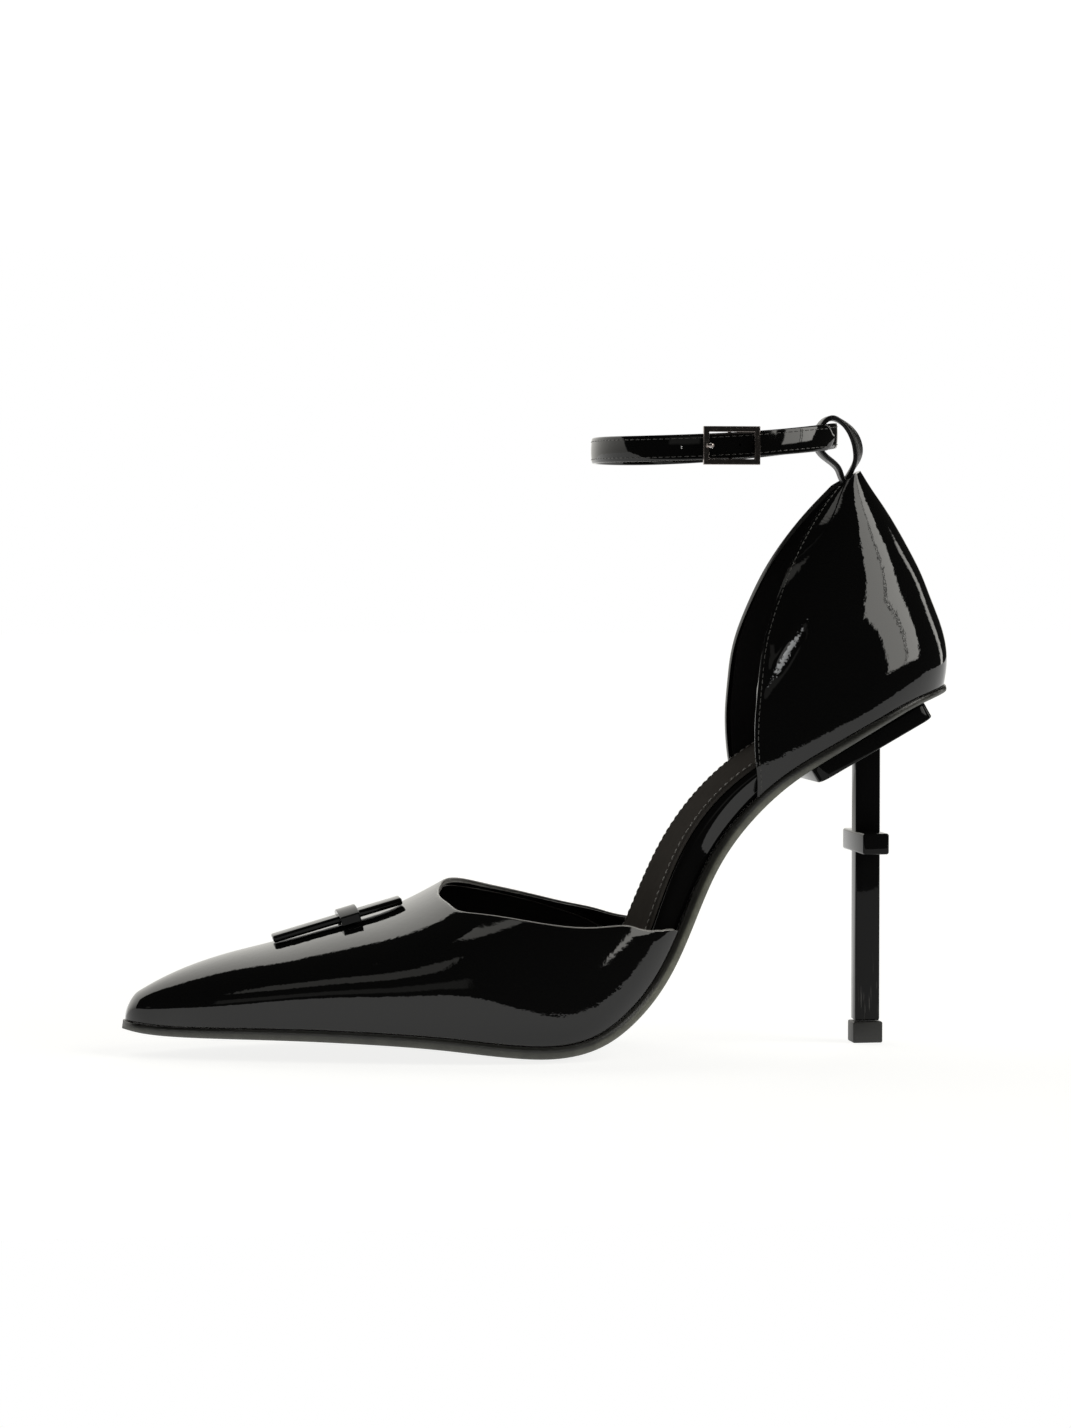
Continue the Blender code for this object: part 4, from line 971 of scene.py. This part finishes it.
# Buckle
# A small cast frame of dark polished nickel with softened edges. Its centre bar passes behind the
# strap's tail. The round prong comes from the bar through a hole and rests on the front rail.
BUCKLE_LENGTH = 0.0162
BUCKLE_HEIGHT = 0.0108
BUCKLE_RAIL = 0.0016
BUCKLE_DEPTH = 0.0013
BUCKLE_SOFT = 0.00042
BUCKLE_BAR = 0.0010
PRONG_RADIUS = 0.00055
PRONG_TIP = 0.0006  # its tip back from the outside of the rail
PRONG_BEND = 0.0006  # reach of its two bends
PRONG_BEND_STEPS = 6
PRONG_SIDES = 20
PRONG_ROUND = 0.6 * PRONG_RADIUS  # rounding of its two ends
PRONG_CORNER = math.radians(60)
HARD_CORNER = math.radians(40)  # cast and moulded edges that turn by more than this are softened
NICKEL_COLOUR = (0.42, 0.375, 0.355, 1)
NICKEL_ROUGHNESS = 0.16
NICKEL_HAZE = (0.35, 0.7)  # of the haze's noise: where it starts and is full
NICKEL_POLISH = (0.08, 0.26)  # roughness without haze and with it

nickel_material, nickel_tree, nickel_shader = new_finish(
    "dark_nickel", NICKEL_COLOUR, NICKEL_ROUGHNESS, Metallic=1.0)
nickel_haze = cloud(nickel_tree, object_spot(nickel_tree), scale=900, detail=3.0)
feed(nickel_tree, nickel_shader,
     Roughness=grade(nickel_tree, nickel_haze, *NICKEL_HAZE, *NICKEL_POLISH))

frame_shift = Vector(LAST_TO_FRAME)
buckle_level = strap_line((BUCKLE_X - STRAP_CENTRE_X) / (2 * math.pi * STRAP_HALF_LENGTH))[2]
buckle_back = strap_line(0.0, LAP)[1] - STRAP_THICKNESS / 2 - GAP
buckle_middle = Vector((BUCKLE_X, buckle_back - BUCKLE_DEPTH / 2, buckle_level)) + frame_shift


def add_box(name, size, middle):
    """Cube primitive at its size and place, with its place in its mesh."""
    box = model(name, bpy.ops.mesh.primitive_cube_add, size=1, location=middle, scale=size)
    bpy.ops.object.transform_apply(location=True, rotation=True, scale=True)
    return box


buckle = add_box("buckle_cast", (BUCKLE_LENGTH, BUCKLE_DEPTH, BUCKLE_HEIGHT), buckle_middle)
window_size = (
    BUCKLE_LENGTH - 2 * BUCKLE_RAIL, 3 * BUCKLE_DEPTH, BUCKLE_HEIGHT - 2 * BUCKLE_RAIL)
cut(buckle, add_box("window", window_size, buckle_middle))
yoke_depth = 2 * GAP + STRAP_THICKNESS + BUCKLE_BAR
yoke_reach = yoke_depth + BUCKLE_DEPTH / 2  # from inside the rails to the back of the bar
yoke_height = BUCKLE_HEIGHT - BUCKLE_RAIL
yoke_middle = buckle_middle + Vector((0, (BUCKLE_DEPTH + yoke_depth) / 2 - BUCKLE_DEPTH / 4, 0))
yoke = add_box("yoke", (BUCKLE_BAR, yoke_reach, yoke_height + BUCKLE_BAR), yoke_middle)
cut(yoke, add_box("yoke_window", (2 * BUCKLE_BAR, yoke_reach, yoke_height - BUCKLE_BAR),
                  yoke_middle - Vector((0, BUCKLE_BAR, 0))))
cut(buckle, yoke, "UNION")
soften(buckle, BUCKLE_SOFT, 3, HARD_CORNER)
hang(buckle, "buckle_frame", "nickel", nickel_material)

prong_rest = buckle_middle.y - BUCKLE_DEPTH / 2 - GAP - PRONG_RADIUS
prong_behind = buckle_middle.y + BUCKLE_DEPTH / 2 + STRAP_THICKNESS + 3 * GAP + PRONG_RADIUS
prong_hole = buckle_middle.x - HOLE_AT
prong_corners = [
    (buckle_middle.x - BUCKLE_LENGTH / 2 + PRONG_TIP, prong_rest),
    (prong_hole, prong_rest),
    (prong_hole, prong_behind),
    (buckle_middle.x - BUCKLE_BAR / 2 - GAP, prong_behind),
]
prong_path = []
for before, corner, after in zip(prong_corners, prong_corners[1:], prong_corners[2:]):
    into, out_of = (unit(np.subtract(end, corner)) * PRONG_BEND for end in (before, after))
    for share in np.linspace(0, math.pi / 2, PRONG_BEND_STEPS):
        prong_path.append(corner + into * (1 - math.sin(share)) + out_of * (1 - math.cos(share)))
prong_path = np.array(prong_corners[:1] + prong_path + prong_corners[-1:])
prong_path = np.insert(prong_path, 2, buckle_middle.z, axis=1) - LAST_TO_FRAME
prong = close_skin("buckle_pin", round_rings(prong_path, PRONG_RADIUS, PRONG_SIDES))
soften(prong, PRONG_ROUND, 4, PRONG_CORNER)
hang(prong, "buckle_prong", "nickel", nickel_material)

# Outsole
# A thin leather sole, cemented on. Its edge is painted black above, its lower bevel shows the
# paler fibres, and the tread is a plain matt coat.
EDGE_TOP_IN = 0.0004
EDGE_BEVEL_IN = 0.0010
EDGE_UPRIGHT = (0.25, 0.55)  # shares of the edge's thickness between which it stands upright
TREAD_SHARES = np.linspace(-0.9, 0.9, 13)
TREAD_POWER = 3  # how flat the middle of the swell is
EDGE_STEPS = 5
EDGE_BLACK = (0.012, 0.012, 0.010, 1)
EDGE_FIBRE = (0.105, 0.106, 0.080, 1)
TREAD_BLACK = (0.020, 0.019, 0.018, 1)
TREAD_ROUGHNESS = 0.62
EDGE_ROUGHNESS = 0.30
DULL_SPAN = (0.19, 0.36)  # on the map, where the tread's roughness ends and the edge's starts
WEAR_SPAN = (0.3, 0.7)  # of the wear's cloud
WEAR_SHADE = (0.62, 1.25)  # the colour is multiplied by these
ARCH_FROM = (0.000, 0.025)  # places in the frame between which the painted shade fades out, and returns
ARCH_TO = (0.066, 0.082)
FOREFOOT_UNSHADED = 0.30  # share of the fibres' colour that the painted shade leaves under the forefoot
SEAT_UNSHADED = 0.22
TREAD_MIDDLE = 16 / 33  # column of the map that runs down the middle of the tread
# away: distance on the map from the middle of the tread, where each finish starts or ends.
SOLE_BANDS = [
    (0.0, TREAD_BLACK), (0.188, TREAD_BLACK), (0.200, EDGE_FIBRE), (0.335, EDGE_FIBRE),
    (0.350, EDGE_BLACK),
]


def outsole_rings():
    run = stations(-LAST["step"](0.0))[:, None]
    lateral, medial = edges(run, -LAST["step"](run))
    depth = LAST["sole"](run)
    room = (medial - lateral) / 2
    top_in = np.minimum(EDGE_TOP_IN, room / 4)
    bevel_in = np.minimum(EDGE_BEVEL_IN, room / 2)
    share = np.linspace(0, 1, EDGE_STEPS)
    upper = share * EDGE_UPRIGHT[0]
    lower = EDGE_UPRIGHT[1] + share * (1 - EDGE_UPRIGHT[1])
    drop = np.concatenate((upper, lower))
    inward = np.concatenate((top_in * (1 - share) ** 2, bevel_in * share ** 2), axis=1)
    middle = (lateral + medial) / 2
    tread = middle + TREAD_SHARES * (room - bevel_in)
    swell = depth + LAST["crown"](run) * (1 - np.abs(TREAD_SHARES) ** TREAD_POWER)
    sides = np.broadcast_to(drop, inward.shape) * depth
    across = np.concatenate((lateral + inward, tread, (medial - inward)[:, ::-1]), axis=1)
    rings = on_last(run, across, -np.concatenate((sides, swell, sides[:, ::-1]), axis=1))
    rings[..., 2] = np.maximum(rings[..., 2], 0)
    return rings


sole_material, sole_tree, sole_shader = new_finish("sole_leather", EDGE_BLACK, EDGE_ROUGHNESS)
sole_places = add_node(sole_tree, "ShaderNodeTexCoord").outputs
sole_column = add_node(sole_tree, "ShaderNodeSeparateXYZ", (sole_places["UV"],)).outputs["X"]
sole_x = add_node(sole_tree, "ShaderNodeSeparateXYZ", (sole_places["Object"],)).outputs["X"]
away = reckon(sole_tree, "ABSOLUTE", reckon(sole_tree, "SUBTRACT", sole_column, TREAD_MIDDLE))
bands = add_node(sole_tree, "ShaderNodeValToRGB", (away,))
while len(bands.color_ramp.elements) < len(SOLE_BANDS):
    bands.color_ramp.elements.new(1.0)
for element, (at, colour) in zip(bands.color_ramp.elements, SOLE_BANDS):
    element.position = at
    element.color = colour
sole_grain = add_node(sole_tree, "ShaderNodeGroup", settings={"node_tree": grain},
                      Pebbles=2200.0, Depth=0.00003).outputs
worn = grade(sole_tree, sole_grain["Shade"], *WEAR_SPAN, *WEAR_SHADE)
# The fibres show fully at the arch. Under the forefoot and the seat their colour is darkened
# towards the edge black: painted shade, where the bevel faces the shaded floor.
unshaded = reckon(sole_tree, "MULTIPLY", grade(sole_tree, sole_x, *ARCH_FROM, FOREFOOT_UNSHADED, 1.0),
              grade(sole_tree, sole_x, *ARCH_TO, 1.0, SEAT_UNSHADED))
bands_under_painted_shade = mix_colours(sole_tree, unshaded, EDGE_BLACK, bands.outputs[0])
feed(sole_tree, sole_shader,
     Base_Color=mix_colours(sole_tree, 1.0, bands_under_painted_shade, worn, "MULTIPLY"),
     Roughness=grade(sole_tree, away, *DULL_SPAN, TREAD_ROUGHNESS, EDGE_ROUGHNESS),
     Normal=relief(sole_tree, sole_grain["Height"]))
sole = close_skin("sole_leather", outsole_rings())
hang(sole, "outsole", "sole_leather", sole_material)

# Heel
# A slim square stem with a crossbar, moulded in one with the tilted plate under the seat and
# sprayed in black lacquer, a little scratched near the tip.
STEM_DEPTH = 0.0073
STEM_WIDTH = 0.0055
STEM_SOFT = 0.0005
CROSSBAR_SIZE = (0.0077, 0.0258, 0.0061)
CROSSBAR_LEVEL = 0.0587
CROSSBAR_SOFT = 0.0007
PLATE_SIZE = (0.0385, 0.0280, 0.0048)
PLATE_TILT = math.radians(29.5)
PLATE_X = 0.0937
PLATE_CORNER = 0.0034
PLATE_SOFT = 0.0004
PLATE_START = 0.75  # place along the foot from which the outsole may lie over the plate
STEM_SINK = 0.6  # how deep the stem ends in the plate, share of its thickness below the top
TIP_SIZE = (0.0088, 0.0072, 0.0062)
LACQUER_BLACK = (0.0045, 0.0045, 0.0045, 1)
LACQUER_ROUGHNESS = 0.04
LACQUER_IOR = 1.24
SCRATCH_GREY = (0.060, 0.058, 0.055, 1)
SCRATCH_LEAN = (0.25, 0.35, 0.0)
SCRATCH_STRETCH = (1.0, 1.0, 0.05)
SCRATCH_SPAN = (0.62, 0.70)  # of the scratches' noise: from clear to scratched
SCRATCH_HEIGHTS = (0.006, 0.030)  # above the floor, between which the scratches fade out
SCRATCH_DULL = 0.3  # roughness that a scratch adds

plate_runs = np.linspace(run_at(PLATE_START), RUN, FINE)
sole_under = on_last(plate_runs, 0.0, -LAST["sole"](plate_runs) - LAST["crown"](plate_runs))
plate_reach = PLATE_SIZE[0] / 2 * math.cos(PLATE_TILT)
over_plate = sole_under[np.abs(sole_under[:, 0] - PLATE_X) < plate_reach]
plate_level = np.min(over_plate[:, 2] - (over_plate[:, 0] - PLATE_X) * math.tan(PLATE_TILT))
plate_level -= GAP / math.cos(PLATE_TILT)

# Sprayed coat with a slight orange peel, and fine upright scratches in its lowest part.
lacquer_material, lacquer_tree, lacquer_shader = new_finish(
    "black_lacquer", LACQUER_BLACK, LACQUER_ROUGHNESS, IOR=LACQUER_IOR)
lacquer_spot = object_spot(lacquer_tree)
peel = add_node(lacquer_tree, "ShaderNodeGroup", settings={"node_tree": ripple},
                Wave_Depth=0.000005, Ripple_Depth=0.000003, Polish=0.035, Smear=0.06).outputs
upright = add_node(lacquer_tree, "ShaderNodeMapping", Vector=lacquer_spot, Rotation=SCRATCH_LEAN,
                   Scale=SCRATCH_STRETCH).outputs[0]
fine_lines = grade(
    lacquer_tree, cloud(lacquer_tree, upright, scale=2400, detail=2.0), *SCRATCH_SPAN, 0.0, 1.0)
height = add_node(lacquer_tree, "ShaderNodeSeparateXYZ", (lacquer_spot,)).outputs["Z"]
low = grade(lacquer_tree, height, *SCRATCH_HEIGHTS, 1.0, 0.0)
scratched = reckon(lacquer_tree, "MULTIPLY", fine_lines, low)
feed(lacquer_tree, lacquer_shader,
     Base_Color=mix_colours(lacquer_tree, scratched, LACQUER_BLACK, SCRATCH_GREY),
     Roughness=reckon(lacquer_tree, "MULTIPLY_ADD", scratched, SCRATCH_DULL, peel["Roughness"]),
     Normal=relief(lacquer_tree, peel["Height"]))
heel = add_box("heel_cast", PLATE_SIZE, (0, 0, -PLATE_SIZE[2] / 2))
bpy.ops.object.mode_set(mode="EDIT")
bpy.ops.mesh.select_mode(type="EDGE")
bpy.ops.mesh.select_all(action="DESELECT")
bpy.ops.object.mode_set(mode="OBJECT")
for edge in heel.data.edges:
    ends = [heel.data.vertices[index].co for index in edge.vertices]
    edge.select = abs(ends[0].z - ends[1].z) > PLATE_SIZE[2] / 2
bpy.ops.object.mode_set(mode="EDIT")
bpy.ops.mesh.bevel(offset=PLATE_CORNER, segments=6)
bpy.ops.object.mode_set(mode="OBJECT")
heel.data.transform(Matrix.Translation(Vector((PLATE_X, 0, plate_level)) + frame_shift)
                    @ Matrix.Rotation(-PLATE_TILT, 4, "Y"))
soften(heel, PLATE_SOFT, 3, HARD_CORNER)
stem_top = plate_level + (STEM_X - PLATE_X) * math.tan(PLATE_TILT) - PLATE_SIZE[2] * STEM_SINK
stem_foot = TIP_SIZE[2] + GAP
stem = add_box("stem", (STEM_DEPTH, STEM_WIDTH, stem_top - stem_foot),
               Vector((STEM_X, 0, (stem_top + stem_foot) / 2)) + frame_shift)
apply_modifier(stem, "BEVEL", width=STEM_SOFT, segments=3)
crossbar = add_box("crossbar", CROSSBAR_SIZE, Vector((STEM_X, 0, CROSSBAR_LEVEL)) + frame_shift)
apply_modifier(crossbar, "BEVEL", width=CROSSBAR_SOFT, segments=4)
cut(stem, crossbar, "UNION")
cut(heel, stem, "UNION")
hang(heel, "heel", "lacquer", lacquer_material)

# Top lift
# The heel's tip of hard black rubber, moulded a little wider than the stem and pressed on with a
# pin that doesn't show.
RUBBER_DARK = (0.012, 0.012, 0.011, 1)
RUBBER_LIGHT = (0.024, 0.024, 0.022, 1)
RUBBER = leather_finish(
    "tip_rubber", RUBBER_DARK, RUBBER_LIGHT, roughness=0.5, pebbles=2600.0, depth=0.00002)
tip = add_box("heel_tip", TIP_SIZE, Vector((STEM_X, 0, TIP_SIZE[2] / 2)) + frame_shift)
soften(tip, STEM_SOFT, 3, HARD_CORNER)
hang(tip, "top_lift", "tip_rubber", RUBBER)

# Sock lining
# A thin sheet of satin leather glued on the board, with a stitched edge that stands free at the
# waist.
SOCK_THICKNESS = 0.0012
SOCK_MARGIN = 0.0016
SOCK_SIDE = [(0.0, 0.0), (0.0, 0.6), (0.35, 1.0)]  # inset, rise
SOCK_INSET = BOARD_INSET + SOCK_MARGIN
SOCK_STITCH_IN = 0.0012
SOCK_STITCH_PITCH = 0.0022
SOCK_STITCH_LENGTH = 0.0016
SOCK_THREAD = 0.00045
SOCK_THREAD_RISE = 0.00012  # middle of the thread above the sheet
SOCK_STITCH_FROM = 0.47  # places along the foot between which the stitches run
SOCK_STITCH_TO = 0.965
SOCK_THREAD_PALE = (0.22, 0.21, 0.195, 1)
SATIN_DARK = (0.037, 0.0335, 0.0305, 1)
SATIN_LIGHT = (0.052, 0.0475, 0.0430, 1)
SATIN = leather_finish(
    "sock_satin", SATIN_DARK, SATIN_LIGHT, roughness=0.55, pebbles=1700.0, depth=0.000012,
    **{"Specular IOR Level": 0.0})
pale_thread = thread_material.copy()
pale_thread.name = "pale_thread"
pale_thread.node_tree.nodes["Principled BSDF"].inputs["Base Color"].default_value = SOCK_THREAD_PALE
sock = close_skin("sock_sheet", flat_rings(
    SOCK_INSET, lambda run: 2 * GAP + LAST["board"](run), lambda run: SOCK_THICKNESS,
    np.array(SOCK_SIDE)))
hang(sock, "sock_lining", "sock", SATIN)
stitch_runs = np.linspace(run_at(SOCK_STITCH_FROM), run_at(SOCK_STITCH_TO), FINE)
sock_top = 2 * GAP + LAST["board"](stitch_runs) + SOCK_THICKNESS + SOCK_THREAD_RISE
for side_name, sign, sock_edge in zip(("outer", "inner"), (1, -1), edges(stitch_runs, SOCK_INSET)):
    line = on_last(stitch_runs, sock_edge + sign * SOCK_STITCH_IN, sock_top) + LAST_TO_FRAME
    out = on_last(stitch_runs, 0.0, sock_top + 1.0) - on_last(stitch_runs, 0.0, sock_top)
    sew("sock_stitches_" + side_name, line, out, SOCK_STITCH_PITCH, SOCK_STITCH_LENGTH,
        SOCK_THREAD, pale_thread)

# Bar on the vamp
# A straight lacquered bar with an arched crossbar, pinned to the vamp from inside, beside its
# ridge.
BAR_FRONT = 0.1773  # places along the foot of its two ends
BAR_BACK = 0.3340
BAR_Y = 0.0038
BAR_SIZE = (0.0385, 0.0062, 0.0021)
BAR_SOFT = 0.0006
BAR_CROSS_SIZE = (0.0057, 0.0150, 0.0026)
BAR_CROSS_AT = 0.0033  # from the middle of the bar towards the heel
BAR_CROSS_DROP = 0.0015  # how far its ends bend down
BAR_CROSS_LIFT = 0.0013  # its middle above the middle of the bar
BAR_PROBES = (13, 5)  # places along and across it at which its seat is measured
TOP_TURNS = np.linspace(-0.9, 0.9, 2 * FINE)


def vamp_at(along, across):
    """Point of the vamp above a place along and across the foot."""
    line = vamp_point(along, TOP_TURNS)
    return Vector(vamp_point(along, np.interp(across, line[:, 1], TOP_TURNS)))


bar_front = vamp_at(BAR_FRONT, BAR_Y)
bar_back = vamp_at(BAR_BACK, BAR_Y)
bar_ahead = (bar_back - bar_front).normalized()
bar_along = (BAR_FRONT + BAR_BACK) / 2
bar_half = BAR_SIZE[1] / 2
bar_slope = vamp_at(bar_along, BAR_Y + bar_half) - vamp_at(bar_along, BAR_Y - bar_half)
bar_up = bar_ahead.cross(bar_slope.normalized()).normalized()
bar_side = bar_up.cross(bar_ahead).normalized()
bar_centre = (bar_front + bar_back) / 2
under_bar = max(
    (vamp_at(spot.x / LENGTH + 0.5, spot.y) - bar_centre).dot(bar_up)
    for spot in (bar_centre + bar_ahead * along * BAR_SIZE[0] / 2 + bar_side * across * bar_half
                 for along in np.linspace(-1, 1, BAR_PROBES[0])
                 for across in np.linspace(-1, 1, BAR_PROBES[1])))
bar_turn = Matrix((bar_ahead, bar_side, bar_up)).transposed().to_4x4()
bar_turn.translation = bar_centre + bar_up * (under_bar + GAP + BAR_SIZE[2] / 2) + frame_shift

bar = add_box("bar_lacquered", BAR_SIZE, (0, 0, 0))
apply_modifier(bar, "BEVEL", width=BAR_SOFT, segments=4)
cross = add_box("bar_cross", BAR_CROSS_SIZE, (BAR_CROSS_AT, 0, BAR_CROSS_LIFT))
bpy.ops.object.mode_set(mode="EDIT")
bpy.ops.mesh.select_all(action="SELECT")
bpy.ops.mesh.subdivide(number_cuts=8)
bpy.ops.object.mode_set(mode="OBJECT")
for vertex in cross.data.vertices:
    vertex.co.z -= BAR_CROSS_DROP * (2 * vertex.co.y / BAR_CROSS_SIZE[1]) ** 2
soften(cross, BAR_SOFT, 4, HARD_CORNER)
cut(bar, cross, "UNION")
bar.data.transform(bar_turn)
hang(bar, "vamp_bar", "lacquer", lacquer_material)

# Floor and light
# A short white table with a white wall behind it in a dark room. A tall strip with a seam stands on
# the heel's side, a thin one behind it, and three dim panels face the shoe.
FLOOR_WIDTH = 8.0
FLOOR_FRONT = 0.30
FLOOR_BACK = 6.0
FLOOR_WHITE = (0.30, 0.30, 0.295, 1)
GLOW_WHITE = (1, 1, 0.99, 1)
FLOOR_GLOW = 0.84
WALL_EDGE = 0.62  # the wall ends upwards where y falls below this share of the height
WALL_SOFT = 0.02
WALL_LOW = 0.85  # brightness at the floor, and at the height where it is full
WALL_HIGH = 2.3
WALL_FULL = 0.85
ROOM_DARK = 0.022
WALL_RIGHT = 152.0  # degrees round the shoe at which the wall begins on the heel's side
WALL_BLUR = 1.0  # half width of its blurred sides, in degrees
WALL_TINT = (1.0, 0.985, 0.93, 1)
# start, end: degrees round the shoe, from its outer side towards the heel. low, high: degrees above
# the floor. lean: degrees that the panel's sides move round for each degree up. soft: width of the
# blurred border. light: brightness.
PANELS = [
    (32.5, 51.5, 13.0, 60.0, 0.40, 1.2, 3.7),  # tall strip, before its seam
    (51.5, 52.9, 13.0, 60.0, 0.40, 0.7, 6.8),  # the seam, brighter
    (52.9, 68.0, 13.0, 60.0, 0.40, 1.2, 4.8),  # tall strip, past its seam
    (117.0, 126.0, -30.0, 27.0, -0.64, 2.0, 2.8),  # thin strip behind the heel
    (-55.0, -24.0, 37.0, 53.0, 0.0, 2.0, 0.55),  # dim panels
    (-72.0, 12.0, 69.5, 79.0, 0.0, 1.5, 1.2),
    (-50.0, -9.0, 5.0, 20.0, 0.0, 3.0, 0.20),
]

floor = model("floor", bpy.ops.mesh.primitive_plane_add, size=1)
floor.data.transform(Matrix.Translation((0, (FLOOR_BACK - FLOOR_FRONT) / 2, 0))
                     @ Matrix.Diagonal((FLOOR_WIDTH, FLOOR_BACK + FLOOR_FRONT, 1, 1)))
floor_material = new_finish("white_table", FLOOR_WHITE, 1.0, **{
    "Specular IOR Level": 0.0, "Emission Color": GLOW_WHITE, "Emission Strength": FLOOR_GLOW})[0]
floor.data.materials.append(floor_material)

# Light that one panel gives in a direction, told in degrees.
panel, panel_in, panel_out = shader_group(
    "lit_panel",
    {"Round": 0.0, "Above": 0.0, "Start": 0.0, "End": 0.0, "Low": 0.0, "High": 0.0, "Lean": 0.0,
     "Soft": 1.0, "Light": 1.0},
    ("Light",))
leant = reckon(panel, "MULTIPLY", panel_in["Above"], panel_in["Lean"])
upright = reckon(panel, "SUBTRACT", panel_in["Round"], leant)
inside = panel_in["Light"]
for upper, lower in ((upright, panel_in["Start"]), (panel_in["End"], upright),
                     (panel_in["Above"], panel_in["Low"]), (panel_in["High"], panel_in["Above"])):
    past = reckon(panel, "SUBTRACT", upper, lower)
    share = reckon(panel, "DIVIDE", past, panel_in["Soft"], use_clamp=True)
    inside = reckon(panel, "MULTIPLY", inside, share)
feed(panel, panel_out, Light=inside)

world = bpy.data.worlds.new("studio")
bpy.context.scene.world = world
world.use_nodes = True
sky = world.node_tree
direction = add_node(sky, "ShaderNodeTexCoord").outputs["Generated"]
toward = add_node(sky, "ShaderNodeSeparateXYZ", (direction,)).outputs
ahead = reckon(sky, "MULTIPLY", toward["Y"], -1.0)
turned = reckon(sky, "DEGREES", reckon(sky, "ARCTAN2", toward["X"], ahead))
above = reckon(sky, "DEGREES", reckon(sky, "ARCSINE", toward["Z"]))
behind = reckon(sky, "MULTIPLY_ADD", toward["Z"], -WALL_EDGE, toward["Y"])
on_wall = grade(sky, behind, -WALL_SOFT, WALL_SOFT, 0.0, 1.0)
wall = grade(sky, toward["Z"], 0.0, WALL_FULL, WALL_LOW, WALL_HIGH)
# Round the back the angle jumps from 180 to -180, so the wall is the part that is not between.
not_left = grade(sky, turned, WALL_RIGHT - WALL_BLUR, WALL_RIGHT + WALL_BLUR, 0.0, 1.0)
not_right = grade(sky, turned, -WALL_BLUR, WALL_BLUR, 1.0, 0.0)
lit_wall = reckon(sky, "MULTIPLY", on_wall, reckon(sky, "MAXIMUM", not_left, not_right))
light = reckon(sky, "MULTIPLY_ADD", lit_wall, wall, ROOM_DARK)
for bounds in PANELS:
    lit = add_node(sky, "ShaderNodeGroup", (turned, above, *bounds), {"node_tree": panel})
    light = reckon(sky, "ADD", light, lit.outputs[0])
camera_ray = add_node(sky, "ShaderNodeLightPath").outputs["Is Camera Ray"]
feed(sky, sky.nodes["Background"],
     Strength=reckon(sky, "MAXIMUM", light, camera_ray),
     Color=mix_colours(sky, camera_ray, WALL_TINT, (1, 1, 1, 1)))

# Camera
# Low beside the shoe and a little ahead of square on, at the photograph's angle, with a long lens
# and everything sharp.
CAMERA_AZIMUTH = math.radians(-9)
CAMERA_RISE = math.radians(2.3)
CAMERA_DISTANCE = 1.14
CAMERA_AIM = Vector((-0.00144, 0.00065, 0.0964))
CAMERA_LENS = 100
CAMERA_SENSOR = 36
camera_back = Vector((
    math.sin(CAMERA_AZIMUTH) * math.cos(CAMERA_RISE),
    -math.cos(CAMERA_AZIMUTH) * math.cos(CAMERA_RISE),
    math.sin(CAMERA_RISE)))
bpy.ops.object.camera_add(
    location=CAMERA_AIM + camera_back * CAMERA_DISTANCE,
    rotation=camera_back.to_track_quat("Z", "Y").to_euler())
camera = bpy.context.object
camera.data.lens = CAMERA_LENS
camera.data.sensor_width = CAMERA_SENSOR
bpy.context.scene.camera = camera
bpy.context.scene.view_settings.view_transform = "Standard"
